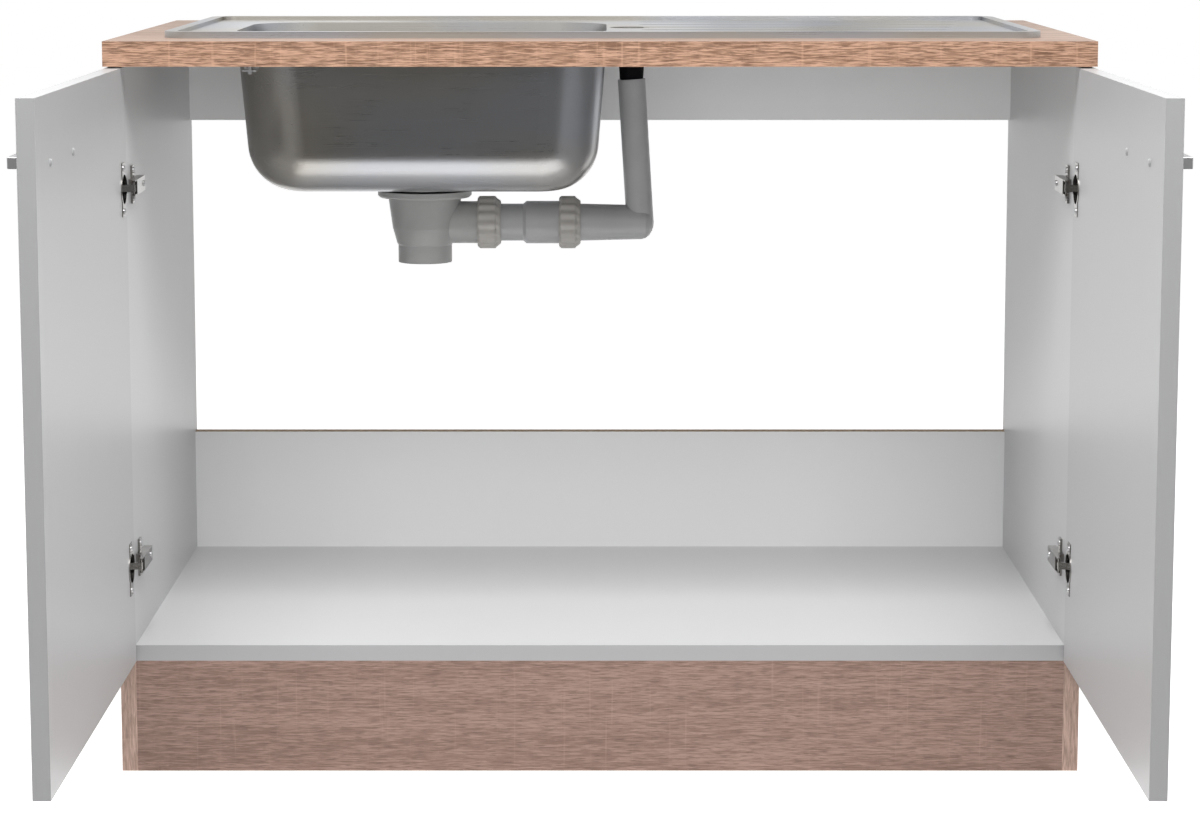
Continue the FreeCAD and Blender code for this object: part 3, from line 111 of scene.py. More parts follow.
def stretched(tree, scale, turn=(0, 0, 0)):
    place = add(tree, "ShaderNodeTexCoord")
    mapping = add(tree, "ShaderNodeMapping", {"Vector": place.outputs["Object"]})
    mapping.inputs["Scale"].default_value = scale
    mapping.inputs["Rotation"].default_value = turn
    return mapping.outputs["Vector"]


def noise(tree, vector, scale, detail=4.0, roughness=0.55, distortion=0.0):
    inputs = {"Vector": vector, "Scale": scale, "Detail": detail, "Roughness": roughness,
              "Distortion": distortion}
    return add(tree, "ShaderNodeTexNoise", inputs).outputs["Fac"]


def blend_colours(tree, factor, first, second, mode="MIX"):
    node = add(tree, "ShaderNodeMix", data_type="RGBA", blend_type=mode)
    feed(tree, node.inputs["Factor"], factor)
    feed(tree, node.inputs[6], first)
    feed(tree, node.inputs[7], second)
    return node.outputs[2]


def maths(tree, operation, first, second=0.0):
    node = add(tree, "ShaderNodeMath", operation=operation)
    feed(tree, node.inputs[0], first)
    feed(tree, node.inputs[1], second)
    return node.outputs["Value"]


def map_range(tree, value, low, high, new_low, new_high):
    inputs = {"Value": value, "From Min": low, "From Max": high, "To Min": new_low,
              "To Max": new_high}
    return add(tree, "ShaderNodeMapRange", inputs).outputs["Result"]


def bumped(tree, shader, height, strength, distance):
    bump = add(tree, "ShaderNodeBump", {"Height": height, "Strength": strength,
                                        "Distance": distance})
    tree.links.new(bump.outputs["Normal"], shader.inputs["Normal"])


def facing(tree, axis):
    """How much a face looks along one axis of its own piece, from -1 to 1."""
    place = add(tree, "ShaderNodeTexCoord")
    split = add(tree, "ShaderNodeSeparateXYZ", {"Vector": place.outputs["Normal"]})
    return split.outputs[axis]


# %% [markdown]
# ## Printed oak
# The worktop, the plinth and the front edges of the side panels carry a printed oak film. Real
# oak has long pale fibres, short dark pores and slow waves from the growth rings. Three noises
# at different scales give these, all stretched along the grain. The film is satin and its print
# is slightly embossed, so the pores also feed the bump and the roughness.

# %% Oak


def oak(name, along, pale, dark, contrast=1.0):
    """along is the grain's axis: 0, 1 or 2."""
    material, shader = new_material(name)
    tree = material.node_tree

    def grain(long_scale, cross_scale):
        scale = [cross_scale] * 3
        scale[along] = long_scale
        return stretched(tree, scale)

    rings = noise(tree, grain(1.6, 34), 1.0, 3.0, 0.5, 0.9)
    fibres = noise(tree, grain(42, 620), 1.0, 4.0, 0.62, 0.5)
    pores = noise(tree, grain(60, 780), 1.0, 2.0, 0.5, 0.4)
    saw = noise(tree, grain(230, 7), 1.0, 2.0, 0.5)
    mixed = maths(tree, "ADD", maths(tree, "MULTIPLY", rings, 0.28),
                  maths(tree, "MULTIPLY", fibres, 0.72))
    middle = tuple((a + b) / 2 for a, b in zip(pale, dark))
    spread = 0.10 / contrast
    tone = ramp(tree, mixed, (0.5 - spread, dark), (0.50, middle), (0.5 + spread, pale))
    pore_mask = ramp(tree, pores, (0.54, grey(0)), (0.64, grey(1)))
    weak = maths(tree, "MULTIPLY", pore_mask, min(0.9, 0.45 * contrast))
    darker = tuple(c * 0.55 for c in dark)
    tone = blend_colours(tree, weak, tone, (*darker, 1))
    marks = map_range(tree, saw, 0.62, 0.75, 0.0, 0.22)
    tone = blend_colours(tree, marks, tone, (*(min(1, c * 1.35) for c in pale), 1))
    shader.inputs["Specular IOR Level"].default_value = 0.35
    tree.links.new(tone, shader.inputs["Base Color"])
    tree.links.new(map_range(tree, pores, 0.3, 0.7, 0.42, 0.55), shader.inputs["Roughness"])
    bumped(tree, shader, maths(tree, "SUBTRACT", fibres, weak), 0.15, 0.0004)
    return material


OAK_TOP = oak("oak_worktop", 0, (0.56, 0.38, 0.29), (0.33, 0.20, 0.14))
OAK_EDGE = oak("oak_front_edge", 0, (0.47, 0.285, 0.195), (0.19, 0.102, 0.062), 1.4)
OAK_UPRIGHT = oak("oak_upright_edge", 2, (0.50, 0.35, 0.29), (0.29, 0.20, 0.16))
# The plinth's oak is a darker copy of the same print: painted shade.
OAK_PLINTH_SHADED = oak("oak_plinth_painted_shade", 0, (0.31, 0.205, 0.168), (0.185, 0.115, 0.09), 1.1)
print("Oak finishes:", [m.name for m in (OAK_TOP, OAK_EDGE, OAK_UPRIGHT, OAK_PLINTH_SHADED)])

# %% [markdown]
# ## White boards with a raw core
# Cabinet boards are chipboard with a white melamine film on both faces. An edge that nobody sees
# stays raw, so the chips show there. One material can do both: it looks at which way a face of
# the piece points, and shows chips only on the edges chosen for that board. Melamine isn't a
# perfect mirror: a faint orange-peel bump breaks its reflections, and its white varies a little.

# %% White melamine over chipboard
CHIP_PALE, CHIP_DARK = (0.60, 0.47, 0.33), (0.27, 0.17, 0.10)


def chips(tree):
    cells = add(tree, "ShaderNodeTexVoronoi", {"Vector": stretched(tree, (1, 1, 1)),
                                               "Scale": 420.0, "Randomness": 1.0})
    cloud = noise(tree, stretched(tree, (1, 1, 1)), 900.0, 3.0)
    value = maths(tree, "MULTIPLY", cells.outputs["Color"], 0.7)
    value = maths(tree, "ADD", value, maths(tree, "MULTIPLY", cloud, 0.3))
    return ramp(tree, value, (0.15, CHIP_DARK), (0.5, (0.45, 0.33, 0.21)), (0.85, CHIP_PALE)), value


def white_board(name, raw_axis=None, raw_sign=1, tint=(0.80, 0.80, 0.805), front_shade_tone=1.0):
    material, shader = new_material(name)
    tree = material.node_tree
    cloud = noise(tree, stretched(tree, (1, 1, 1)), 3.0, 3.0)
    white = ramp(tree, cloud, (0.3, tuple(c * 0.985 for c in tint)), (0.7, tint))
    peel = noise(tree, stretched(tree, (1, 1, 1)), 1400.0, 2.0)
    shader.inputs["Specular IOR Level"].default_value = 0.4
    if raw_axis is None:
        # Faces that look along -Y, towards the front, get a darker copy of the white: painted shade.
        shaded_front_mask = maths(tree, "LESS_THAN", facing(tree, "Y"), -0.5)
        darker = tuple(c * front_shade_tone for c in tint)
        tree.links.new(blend_colours(tree, shaded_front_mask, white, (*darker, 1)), shader.inputs["Base Color"])
        tree.links.new(map_range(tree, peel, 0.3, 0.7, 0.34, 0.42), shader.inputs["Roughness"])
        bumped(tree, shader, peel, 0.05, 0.0002)
        return material
    look = maths(tree, "MULTIPLY", facing(tree, raw_axis), float(raw_sign))
    raw = maths(tree, "GREATER_THAN", look, 0.5)
    chip_colour, chip_height = chips(tree)
    tree.links.new(blend_colours(tree, raw, white, chip_colour), shader.inputs["Base Color"])
    tree.links.new(map_range(tree, raw, 0.0, 1.0, 0.38, 0.85), shader.inputs["Roughness"])
    height = maths(tree, "ADD", maths(tree, "MULTIPLY", raw, chip_height),
                   maths(tree, "MULTIPLY", peel, 0.1))
    bumped(tree, shader, height, 0.3, 0.0004)
    return material


# These boards are one white melamine in several greys: doors, sides and floor darker than the back
# panels, the edging darkest. The differences are painted shade.
DOOR_WHITE_SHADED = white_board("door_melamine_painted_shade", tint=(0.545, 0.545, 0.55), front_shade_tone=0.58)
SIDE_WHITE_SHADED = white_board("side_melamine_painted_shade", "Y", 1, tint=(0.61, 0.61, 0.615))
FLOOR_WHITE_SHADED = white_board("floor_melamine_painted_shade", "Y", 1, tint=(0.63, 0.63, 0.635))
BACK_WHITE = white_board("back_melamine", tint=(0.86, 0.86, 0.865))
UNDER_WHITE = white_board("lower_back_melamine", "Z", 1, tint=(0.86, 0.86, 0.865))
EDGING_GREY_SHADED = white_board("white_edging", tint=(0.34, 0.34, 0.345))

# %% [markdown]
# The worktop is chipboard too, but its faces differ: oak film on top, a pale backing film below
# and raw chips wherever it is cut. The same trick with the direction of a face sorts them out.

# %% The worktop's three faces
WORKTOP, shader = new_material("worktop_board")
tree = WORKTOP.node_tree
chip_colour, chip_height = chips(tree)
up = facing(tree, "Z")
is_top = maths(tree, "GREATER_THAN", up, 0.5)
is_under = maths(tree, "LESS_THAN", up, -0.5)
fibres = noise(tree, stretched(tree, (42, 620, 620)), 1.0, 4.0, 0.62, 0.5)
rings = noise(tree, stretched(tree, (1.3, 26, 26)), 1.0, 3.0, 0.5, 0.9)
print_value = maths(tree, "ADD", maths(tree, "MULTIPLY", rings, 0.42),
                    maths(tree, "MULTIPLY", fibres, 0.58))
oak_print = ramp(tree, print_value, (0.40, (0.27, 0.17, 0.12)), (0.50, (0.37, 0.25, 0.19)),
                 (0.60, (0.47, 0.335, 0.26)))
backing = (0.55, 0.52, 0.47, 1)
lower = blend_colours(tree, is_under, chip_colour, backing)
tree.links.new(blend_colours(tree, is_top, lower, oak_print), shader.inputs["Base Color"])
tree.links.new(map_range(tree, is_top, 0.0, 1.0, 0.8, 0.46), shader.inputs["Roughness"])
bumped(tree, shader, maths(tree, "ADD", fibres, chip_height), 0.12, 0.0004)
shader.inputs["Specular IOR Level"].default_value = 0.35

# %% [markdown]
# ## Metals
# The sink is brushed: fine scratches run along its length, which a noise squeezed across the
# brushing gives. The scratches change the roughness more than the colour. Screws and brackets
# are zinc plated, slightly blotchy. The hinges are nickel plated, warmer and smoother.

# %% Steel, zinc, nickel and the handle's satin metal


def metal(name, colour, rough, stretch, scratch, blotch=0.06, tarnish=None):
    material, shader = new_material(name)
    tree = material.node_tree
    scratches = noise(tree, stretched(tree, stretch), 1.0, 5.0, 0.65)
    cloud = noise(tree, stretched(tree, (1, 1, 1)), 18.0, 4.0)
    darker = tuple(c * (1 - blotch) for c in colour)
    tone = ramp(tree, cloud, (0.35, darker), (0.65, colour))
    if tarnish:
        slow = noise(tree, stretched(tree, (1, 1, 1)), 4.5, 1.0, 0.4)
        tone = blend_colours(tree, map_range(tree, slow, 0.40, 0.60, 0.0, 1.0), tone, (*tarnish, 1))
    tree.links.new(tone, shader.inputs["Base Color"])
    shader.inputs["Metallic"].default_value = 1.0
    both = maths(tree, "ADD", maths(tree, "MULTIPLY", scratches, 0.75),
                 maths(tree, "MULTIPLY", cloud, 0.25))
    low, high = rough
    tree.links.new(map_range(tree, both, 0.3, 0.7, low, high), shader.inputs["Roughness"])
    bumped(tree, shader, scratches, scratch, 0.0002)
    return material


STEEL = metal("brushed_steel", (0.42, 0.402, 0.37), (0.26, 0.32), (6, 900, 900), 0.05, 0.03,
              (0.395, 0.405, 0.43))
POLISHED = metal("polished_steel", (0.62, 0.615, 0.61), (0.12, 0.22), (300, 300, 300), 0.03)
ZINC = metal("zinc_plating", (0.60, 0.60, 0.61), (0.25, 0.40), (200, 200, 200), 0.05, 0.15)
NICKEL = metal("nickel_plating", (0.36, 0.35, 0.335), (0.14, 0.24), (150, 150, 700), 0.05, 0.3)
HANDLE = metal("satin_handle", (0.50, 0.50, 0.51), (0.32, 0.42), (900, 8, 900), 0.06)

# %% [markdown]
# ## Plastics, rubber and beech
# The waste is moulded grey plastic. Moulded parts have a fine texture from the mould and a
# slightly cloudy colour. The union nuts come from another batch and are a little warmer. Rubber
# is nearly black, dull, and dusty where it was handled. Beech is only seen if a dowel is.

# %% Moulded plastic, rubber and beech


def moulded(name, colour, rough, grain=700.0, cloud_scale=25.0, variation=0.08):
    material, shader = new_material(name)
    tree = material.node_tree
    cloud = noise(tree, stretched(tree, (1, 1, 1)), cloud_scale, 4.0)
    fine = noise(tree, stretched(tree, (1, 1, 1)), grain, 3.0)
    darker = tuple(c * (1 - variation) for c in colour)
    tree.links.new(ramp(tree, cloud, (0.35, darker), (0.65, colour)), shader.inputs["Base Color"])
    tree.links.new(map_range(tree, fine, 0.3, 0.7, rough - 0.05, rough + 0.08),
                   shader.inputs["Roughness"])
    bumped(tree, shader, fine, 0.08, 0.0003)
    return material


GREY_PLASTIC = moulded("grey_plastic", (0.36, 0.36, 0.355), 0.36)
PIPE_PLASTIC = moulded("pipe_plastic", (0.385, 0.385, 0.39), 0.34)
NUT_PLASTIC = moulded("nut_plastic", (0.415, 0.40, 0.375), 0.42)
RUBBER = moulded("black_rubber", (0.004, 0.004, 0.005), 0.7, 500.0, 60.0, 0.35)
RUBBER.node_tree.nodes["Principled BSDF"].inputs["Specular IOR Level"].default_value = 0.12
BEECH = moulded("beech", (0.55, 0.38, 0.22), 0.7)

# %% [markdown]
# ## Finishes on the CAD parts
# A CAD part whose shape is right keeps its mesh and only gets the better material. The table
# below says which finish each part has, by the start of its name.

# %% Give each CAD part its finish
FINISHES = {
    "worktop_front_edging": OAK_EDGE, "worktop_end_edgings": OAK_EDGE, "worktop": WORKTOP,
    "side_panel": SIDE_WHITE_SHADED, "side_edging": OAK_UPRIGHT, "floor_panel": FLOOR_WHITE_SHADED,
    "floor_edging": EDGING_GREY_SHADED, "plinth_board": OAK_PLINTH_SHADED, "upper_back_rail": BACK_WHITE,
    "lower_back_panel": UNDER_WHITE, "dowels": BEECH, "cam_fittings": ZINC, "sink_seal": RUBBER,
    "sink_clamps": ZINC, "sink": STEEL, "clamp_screws": ZINC, "strainer_seal": RUBBER,
    "strainer_screw": POLISHED, "strainer": POLISHED, "basket_knob": POLISHED,
    "basket_plug": RUBBER, "waste_gasket": RUBBER, "waste_body": GREY_PLASTIC,
    "union_nut": NUT_PLASTIC, "sealing_rings": RUBBER, "coupling_pipe": PIPE_PLASTIC,
    "overflow_pipe": PIPE_PLASTIC, "overflow_boot": RUBBER, "overflow_cover": POLISHED,
    "overflow_screw": POLISHED, "door": DOOR_WHITE_SHADED, "handle_screws": DOOR_WHITE_SHADED, "handle": HANDLE,
    "hinge": NICKEL, "mounting_plates": NICKEL, "plate_screws": ZINC, "arm_screws": ZINC,
    "arm_pins": NICKEL, "cup_pins": NICKEL, "cup_screws": ZINC,
}


def finish_of(name):
    starts = [key for key in FINISHES if name.startswith(key)]
    return FINISHES[max(starts, key=len)]


def dress(part):
    finish = finish_of(part.name)
    part.data.materials.clear()
    part.data.materials.append(finish)
    return finish.name


for name, part in NODES.items():
    dress(part)
print("Dressed", len(NODES), "CAD parts")

# %% [markdown]
# ## Ribbed union nuts, made by a rule
# A union nut is a turned ring with upright ribs for the fingers. Modelling sixteen ribs by hand
# is dull and hard to change, so a Geometry Nodes tree makes the nut: its outline is drawn once
# as a closed row of points, a grid is wrapped round the axis along that outline, and the radius
# dips between the ribs. The number of ribs and their depth are inputs of the tree.

# %% Helpers for a Geometry Nodes tree


def new_rule(name, sizes):
    """Start a tree with named inputs, and return it, its input sockets and their keys."""
    rule = bpy.data.node_groups.new(name, "GeometryNodeTree")
    rule.interface.new_socket("Geometry", in_out="INPUT", socket_type="NodeSocketGeometry")
    keys = {}
    for title, value in sizes.items():
        kind = "NodeSocketInt" if isinstance(value, int) else "NodeSocketFloat"
        socket = rule.interface.new_socket(title, in_out="INPUT", socket_type=kind)
        socket.default_value = value
        keys[title] = socket.identifier
    rule.interface.new_socket("Geometry", in_out="OUTPUT", socket_type="NodeSocketGeometry")
    return rule, rule.nodes.new("NodeGroupInput").outputs, keys


def close_rule(rule, geometry, finish):
    """End a tree: turn instances into real faces, give them a finish and hand them out."""
    real = add(rule, "GeometryNodeRealizeInstances", {"Geometry": geometry})
    painted = add(rule, "GeometryNodeSetMaterial", {"Geometry": real.outputs["Geometry"]})
    painted.inputs["Material"].default_value = finish
    last = rule.nodes.new("NodeGroupOutput")
    rule.links.new(painted.outputs["Geometry"], last.inputs["Geometry"])


def run_rule(name, points, edges, rule, keys, sizes):
    """Run a tree on a few points and keep the result as a plain mesh."""
    seed = bpy.data.meshes.new(name)
    seed.from_pydata(points, edges, [])
    piece = bpy.data.objects.new(name, seed)
    bpy.context.scene.collection.objects.link(piece)
    modifier = piece.modifiers.new("rule", "NODES")
    modifier.node_group = rule
    for title, value in sizes.items():
        modifier[keys[title]] = value
    graph = bpy.context.evaluated_depsgraph_get()
    plain = bpy.data.meshes.new_from_object(piece.evaluated_get(graph), depsgraph=graph)
    piece.modifiers.remove(modifier)
    piece.data = plain
    plain.name = name
    work = bmesh.new()
    work.from_mesh(plain)
    if work.calc_volume(signed=True) < 0:
        bmesh.ops.reverse_faces(work, faces=work.faces)
    open_edges = sum(not edge.is_manifold for edge in work.edges)
    work.to_mesh(plain)
    work.free()
    print(name, "faces:", len(plain.polygons), "open edges:", open_edges)
    return piece


# %% The nut's tree
nut_rule, given, nut_keys = new_rule("ribbed_nut", {
    "Outline Points": 12, "Sides": 192, "Ribs": 16, "Rib Depth": 0.0016, "Ribs Above": 0.0295,
    "Axis Y": 0.0, "Axis Z": 0.0})
sheet = add(nut_rule, "GeometryNodeMeshGrid", {"Size X": 1.0, "Size Y": 1.0})
nut_rule.links.new(maths(nut_rule, "ADD", given["Sides"], 1.0), sheet.inputs["Vertices X"])
nut_rule.links.new(given["Outline Points"], sheet.inputs["Vertices Y"])
spot = add(nut_rule, "GeometryNodeInputPosition").outputs["Position"]
spot = add(nut_rule, "ShaderNodeSeparateXYZ", {"Vector": spot})
turn = maths(nut_rule, "MULTIPLY", maths(nut_rule, "ADD", spot.outputs["X"], 0.5), 2 * math.pi)
last_row = maths(nut_rule, "SUBTRACT", given["Outline Points"], 1.0)
row = maths(nut_rule, "MULTIPLY", maths(nut_rule, "ADD", spot.outputs["Y"], 0.5), last_row)
outline_spot = add(nut_rule, "GeometryNodeInputPosition").outputs["Position"]
outline = add(nut_rule, "GeometryNodeSampleIndex", data_type="FLOAT_VECTOR", domain="POINT")
nut_rule.links.new(given["Geometry"], outline.inputs["Geometry"])
nut_rule.links.new(outline_spot, outline.inputs["Value"])
nut_rule.links.new(maths(nut_rule, "ROUND", row), outline.inputs["Index"])
along = add(nut_rule, "ShaderNodeSeparateXYZ", {"Vector": outline.outputs["Value"]})
wave = maths(nut_rule, "COSINE", maths(nut_rule, "MULTIPLY", turn, given["Ribs"]))
dip = maths(nut_rule, "ADD", maths(nut_rule, "MULTIPLY", wave, -0.5), 0.5)
outside = maths(nut_rule, "GREATER_THAN", along.outputs["Y"], given["Ribs Above"])
dip = maths(nut_rule, "MULTIPLY", maths(nut_rule, "MULTIPLY", dip, outside), given["Rib Depth"])
radius = maths(nut_rule, "SUBTRACT", along.outputs["Y"], dip)
across = maths(nut_rule, "MULTIPLY", radius, maths(nut_rule, "COSINE", turn))
upward = maths(nut_rule, "MULTIPLY", radius, maths(nut_rule, "SINE", turn))
wrapped = add(nut_rule, "ShaderNodeCombineXYZ", {
    "X": along.outputs["X"], "Y": maths(nut_rule, "ADD", across, given["Axis Y"]),
    "Z": maths(nut_rule, "ADD", upward, given["Axis Z"])})
bent = add(nut_rule, "GeometryNodeSetPosition", {"Geometry": sheet.outputs["Mesh"],
                                                 "Position": wrapped.outputs["Vector"]})
joined = add(nut_rule, "GeometryNodeMergeByDistance", {"Geometry": bent.outputs["Geometry"],
                                                       "Distance": 0.00001})
close_rule(nut_rule, joined.outputs["Geometry"], NUT_PLASTIC)
print("Nut tree inputs:", list(nut_keys))

# %% Both nuts
NUT_AXIS = (0.255, 0.6077)
PIPE_HOLE = 0.0228


def union_nut(node, wide):
    """A nut in the place of its CAD part; wide is the radius of its wider opening."""
    low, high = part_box(node)
    start, end = low[0], high[0]
    outer = (high[2] - low[2]) / 2
    outline = [(start, wide), (start, outer - 0.0028), (start + 0.0012, outer - 0.0012),
               (start + 0.0028, outer), (end - 0.0075, outer), (end - 0.0062, outer - 0.0006),
               (end - 0.0048, outer - 0.0024), (end - 0.0012, outer - 0.0050),
               (end, outer - 0.0062), (end, PIPE_HOLE), (end - 0.004, PIPE_HOLE), (end - 0.004, wide),
               (start, wide)]
    points = [(x, r, 0.0) for x, r in outline]
    edges = [(i, i + 1) for i in range(len(points) - 1)]
    nut = run_rule("ribbed_" + node, points, edges, nut_rule, nut_keys,
                   {"Outline Points": len(points), "Axis Y": NUT_AXIS[0], "Axis Z": NUT_AXIS[1]})
    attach(nut, "cabinet")
    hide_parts(node)
    return nut


union_nut("union_nut_inner", 0.0258)
union_nut("union_nut_outer", 0.0261)

# %% [markdown]
# ## Screws with a cross recess
# The hinges are held by small pan-head screws. All have the same head, so one tree makes a single
# screw and puts a copy on every given point, each turned by a random angle as a fitter would
# leave it. The recess is cut with a Mesh Boolean, which keeps the head a closed solid.

# %% The screw's tree
screw_rule, given, screw_keys = new_rule("cross_screws", {
    "Head Radius": 0.0034, "Head Height": 0.0016, "Shank Radius": 0.0018, "Shank Length": 0.011,
    "Recess Length": 0.0040, "Recess Width": 0.0008, "Recess Depth": 0.0011, "Seed": 7})


def lifted(shape, height):
    place = add(screw_rule, "ShaderNodeCombineXYZ", {"Z": height})
    return add(screw_rule, "GeometryNodeTransform", {
        "Geometry": shape, "Translation": place.outputs["Vector"]}).outputs["Geometry"]


half = maths(screw_rule, "MULTIPLY", given["Head Height"], 0.5)
rim = add(screw_rule, "GeometryNodeMeshCylinder", {
    "Vertices": 24, "Radius": given["Head Radius"], "Depth": half})
brow = add(screw_rule, "GeometryNodeMeshCone", {
    "Vertices": 24, "Radius Bottom": given["Head Radius"],
    "Radius Top": maths(screw_rule, "SUBTRACT", given["Head Radius"], half), "Depth": half})
shank = add(screw_rule, "GeometryNodeMeshCylinder", {
    "Vertices": 16, "Radius": given["Shank Radius"], "Depth": given["Shank Length"]})
quarter = maths(screw_rule, "MULTIPLY", half, 0.5)
bottom = maths(screw_rule, "MULTIPLY", given["Shank Length"], -0.5)
solid = add(screw_rule, "GeometryNodeMeshBoolean", operation="UNION", solver="EXACT")
for shape in (lifted(rim.outputs["Mesh"], quarter), lifted(brow.outputs["Mesh"], half),
              lifted(shank.outputs["Mesh"], maths(screw_rule, "ADD", bottom, quarter))):
    screw_rule.links.new(shape, solid.inputs["Mesh 2"])
cutters = []
for size in ((given["Recess Length"], given["Recess Width"]),
             (given["Recess Width"], given["Recess Length"])):
    extent = add(screw_rule, "ShaderNodeCombineXYZ", {
        "X": size[0], "Y": size[1], "Z": maths(screw_rule, "MULTIPLY", given["Recess Depth"], 2.0)})
    bar = add(screw_rule, "GeometryNodeMeshCube", {"Size": extent.outputs["Vector"]})
    cutters.append(lifted(bar.outputs["Mesh"], given["Head Height"]))
cross = add(screw_rule, "GeometryNodeMeshBoolean", operation="DIFFERENCE", solver="EXACT")
screw_rule.links.new(solid.outputs["Mesh"], cross.inputs["Mesh 1"])
for cutter in cutters:
    screw_rule.links.new(cutter, cross.inputs["Mesh 2"])
side = add(screw_rule, "ShaderNodeSeparateXYZ", {
    "Vector": add(screw_rule, "GeometryNodeInputPosition").outputs["Position"]})
lean = maths(screw_rule, "MULTIPLY", maths(screw_rule, "SIGN", side.outputs["X"]), -math.pi / 2)
aim = add(screw_rule, "ShaderNodeCombineXYZ", {"Y": lean})
placed = add(screw_rule, "GeometryNodeInstanceOnPoints", {
    "Points": given["Geometry"], "Instance": cross.outputs["Mesh"],
    "Rotation": aim.outputs["Vector"]})
chance = add(screw_rule, "FunctionNodeRandomValue", {"Seed": given["Seed"]}, data_type="FLOAT")
chance.inputs[2].default_value, chance.inputs[3].default_value = 0.0, math.pi
spin = add(screw_rule, "ShaderNodeCombineXYZ", {"Z": chance.outputs[1]})
turned = add(screw_rule, "GeometryNodeRotateInstances", {
    "Instances": placed.outputs["Instances"], "Rotation": spin.outputs["Vector"]})
close_rule(screw_rule, turned.outputs["Instances"], ZINC)
print("Screw tree inputs:", list(screw_keys))

# %% The hinges' screws, one mesh for each CAD part
HINGE_HEIGHTS = (0.244, 0.675)


def screws(node, body, sides, outward, y, spread, length):
    """Screws on a plane facing the cabinet's middle, outward metres from its centre line."""
    points = [(side * outward, y, z + step) for side in sides for z in HINGE_HEIGHTS
              for step in spread]
    piece = run_rule("cross_" + node, points, [], screw_rule, screw_keys,
                     {"Shank Length": length})
    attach(piece, body)
    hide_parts(node)
    return piece


PLATE_PLANE, ARM_PLANE, CUP_PLANE = 0.5295, 0.5196, 0.5298
PLATE_PAIR, CUP_PAIR = (-0.016, 0.016), (-0.024, 0.024)
screws("plate_screws", "cabinet", (-1, 1), PLATE_PLANE, 0.028, PLATE_PAIR, 0.0135)
screws("arm_screws", "cabinet", (-1, 1), ARM_PLANE, 0.039, (0.0,), 0.0114)
screws("cup_screws_left", "door_left", (-1,), CUP_PLANE, -0.042, CUP_PAIR, 0.011)
screws("cup_screws_right", "door_right", (1,), CUP_PLANE, -0.042, CUP_PAIR, 0.011)

# %% [markdown]
# ## Light, floor and background
# The photo is a catalogue cut-out: soft even light and a pure white ground. One large area lamp
# above the front gives the main light, a weak one behind keeps the back legible, and a broad one
# behind the camera fills the cupboard without showing in the steel. The world adds the rest.
# Only what is seen or mirrored of the world is full white. The floor is white too and keeps a
# soft shadow under the unit.

# %% World
world = bpy.data.worlds.new("studio")
bpy.context.scene.world = world
world.use_nodes = True
tree = world.node_tree
rays = add(tree, "ShaderNodeLightPath")
seen = maths(tree, "MAXIMUM", rays.outputs["Is Camera Ray"], rays.outputs["Is Glossy Ray"])
seen = maths(tree, "MAXIMUM", seen, rays.outputs["Is Transmission Ray"])
AMBIENT = 0.16
sky = tree.nodes["Background"]
sky.inputs["Color"].default_value = (1, 1, 1, 1)
tree.links.new(map_range(tree, seen, 0.0, 1.0, AMBIENT, 1.0), sky.inputs["Strength"])
print("World strength for light:", AMBIENT)

# %% Lamps


def area_lamp(name, place, target, size, power):
    data = bpy.data.lights.new(name, "AREA")
    data.shape = "RECTANGLE"
    data.size, data.size_y = size
    data.energy = power
    lamp = bpy.data.objects.new(name, data)
    bpy.context.scene.collection.objects.link(lamp)
    way = Vector(target) - Vector(place)
    lamp.matrix_world = Matrix.Translation(place) @ way.to_track_quat("-Z", "Y").to_matrix().to_4x4()
    return lamp


KEY_WATTS, BACK_WATTS, FILL_WATTS = 97, 10, 40
area_lamp("key", (0, -1.4, 2.6), (0, 0.2, 0.2), (2.4, 1.2), KEY_WATTS)
area_lamp("back", (0, 3.0, 1.3), (0, 0, 0.3), (2.4, 1.0), BACK_WATTS)
fill = area_lamp("fill", (0, -4.6, 1.0), (0, 0.3, 0.4), (3.0, 1.0), FILL_WATTS)
fill.visible_glossy = False
print("Lamps, watts:", KEY_WATTS, BACK_WATTS, FILL_WATTS)

# %% [markdown]
# Steel looks like what stands around it. In the photo its upright faces mirror a dark studio,
# its lower curves mirror the bright ground, and the deck mirrors bands of dark and light behind
# the unit. Three cards give it that to mirror: two dark ones, in front and on the ground, and a
# streaked one behind. Only reflections can see them, so they neither show nor shade anything.

# %% Cards for the steel to mirror


def card(name, corners, dark, light, streak=2.2):
    mesh = bpy.data.meshes.new(name)
    mesh.from_pydata(corners, [], [(0, 1, 2, 3)])
    sheet = bpy.data.objects.new(name, mesh)
    bpy.context.scene.collection.objects.link(sheet)
    paper = bpy.data.materials.new(name)
    paper.use_nodes = True
    tree = paper.node_tree
    streaks = noise(tree, stretched(tree, (streak, 0.15, 0.15)), 1.0, 3.0, 0.6)
    tone = ramp(tree, streaks, (0.40, dark), (0.62, light))
    shine = add(tree, "ShaderNodeEmission", {"Color": tone, "Strength": 1.0})
    tree.links.new(shine.outputs["Emission"], tree.nodes["Material Output"].inputs["Surface"])
    mesh.materials.append(paper)
    sheet.visible_camera = False
    sheet.visible_diffuse = False
    sheet.visible_transmission = False
    sheet.visible_shadow = False
    return sheet


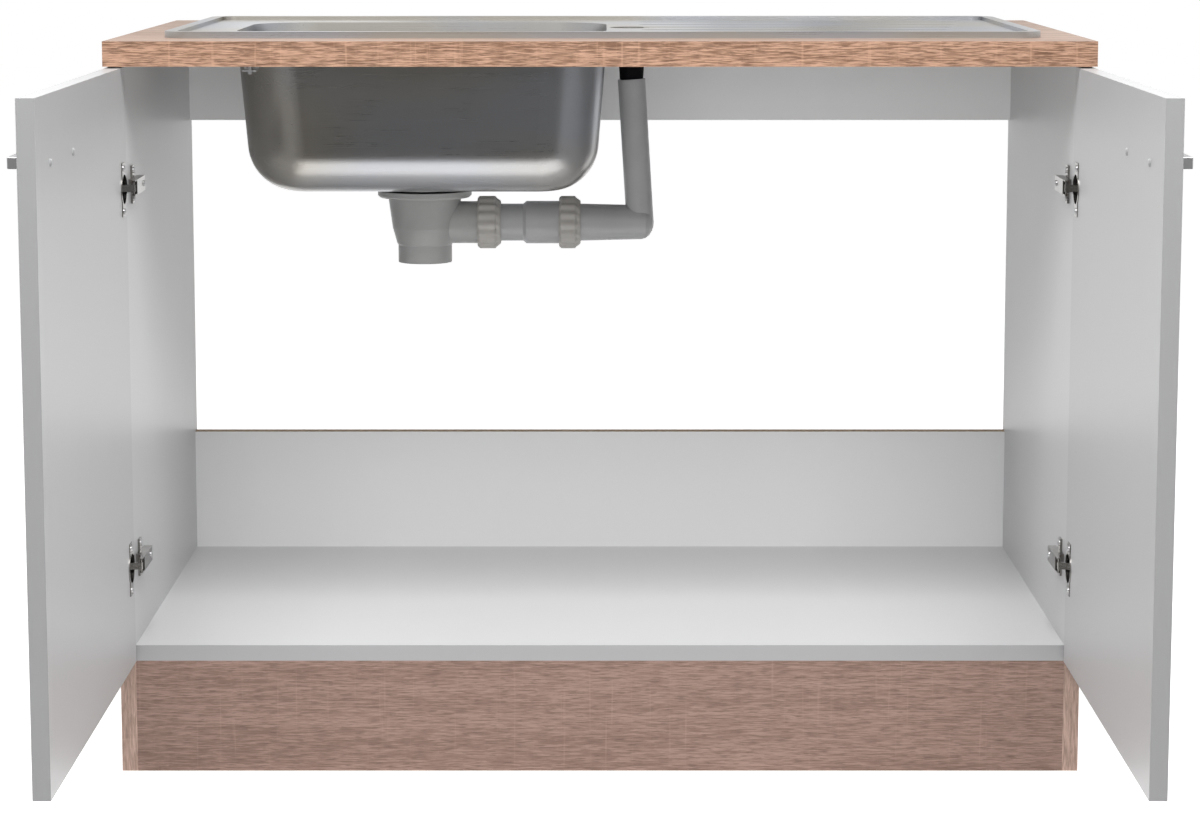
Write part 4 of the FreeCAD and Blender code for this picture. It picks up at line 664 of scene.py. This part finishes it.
card("front_card", [(-3.5, -2.7, 0.01), (3.5, -2.7, 0.01), (3.5, -2.7, 0.80), (-3.5, -2.7, 0.80)],
     (0.10, 0.095, 0.085), (0.21, 0.21, 0.215))
card("ground_card", [(-2.6, -2.7, 0.01), (2.6, -2.7, 0.01), (2.6, -0.70, 0.01),
                     (-2.6, -0.70, 0.01)], (0.09, 0.082, 0.07), (0.18, 0.176, 0.17))
card("back_card", [(-3.5, 2.6, 0.88), (3.5, 2.6, 0.88), (3.5, 2.6, 1.75), (-3.5, 2.6, 1.75)],
     (0.34, 0.34, 0.345), (1.35, 1.35, 1.35), 1.6)

# %% Floor
FLOOR_GLOW = 0.86
bpy.ops.mesh.primitive_plane_add(size=30, location=(0, 0, 0))
floor = bpy.context.object
floor.name = "studio_floor"
FLOOR, shader = new_material("studio_floor")
tree = FLOOR.node_tree
shader.inputs["Base Color"].default_value = (0.85, 0.85, 0.85, 1)
shader.inputs["Roughness"].default_value = 0.9
shader.inputs["Specular IOR Level"].default_value = 0.0
rays = add(tree, "ShaderNodeLightPath")
glow = add(tree, "ShaderNodeEmission", {"Color": (1, 1, 1, 1)})
seen = maths(tree, "MAXIMUM", rays.outputs["Is Camera Ray"], rays.outputs["Is Glossy Ray"])
seen = maths(tree, "MAXIMUM", seen, rays.outputs["Is Transmission Ray"])
tree.links.new(maths(tree, "MULTIPLY", seen, FLOOR_GLOW), glow.inputs["Strength"])
both = add(tree, "ShaderNodeAddShader")
tree.links.new(shader.outputs["BSDF"], both.inputs[0])
tree.links.new(glow.outputs["Emission"], both.inputs[1])
tree.links.new(both.outputs["Shader"], tree.nodes["Material Output"].inputs["Surface"])
floor.data.materials.append(FLOOR)

# %% [markdown]
# ## Camera
# The photo's uprights stay upright although the camera looks down on the unit, as with a
# shifted lens. Part of that shift is copied here, and the rest of the view comes from a small
# tilt. The place, tilt and lens were fitted to the corners of the unit in the photo.

# %% Camera
lens = bpy.data.cameras.new("catalogue_camera")
lens.sensor_width = 36.0
LENS_MM, LENS_SHIFT, TILT_DEGREES = 91.196, -0.09, 7.4816
lens.lens = LENS_MM
lens.shift_y = LENS_SHIFT
camera = bpy.data.objects.new("catalogue_camera", lens)
bpy.context.scene.collection.objects.link(camera)
camera.location = (0, -3.411, 0.9933)
camera.rotation_euler = (math.radians(90 - TILT_DEGREES), 0, 0)
bpy.context.scene.camera = camera
bpy.context.scene.view_settings.view_transform = "Standard"
print("Camera at", tuple(camera.location))
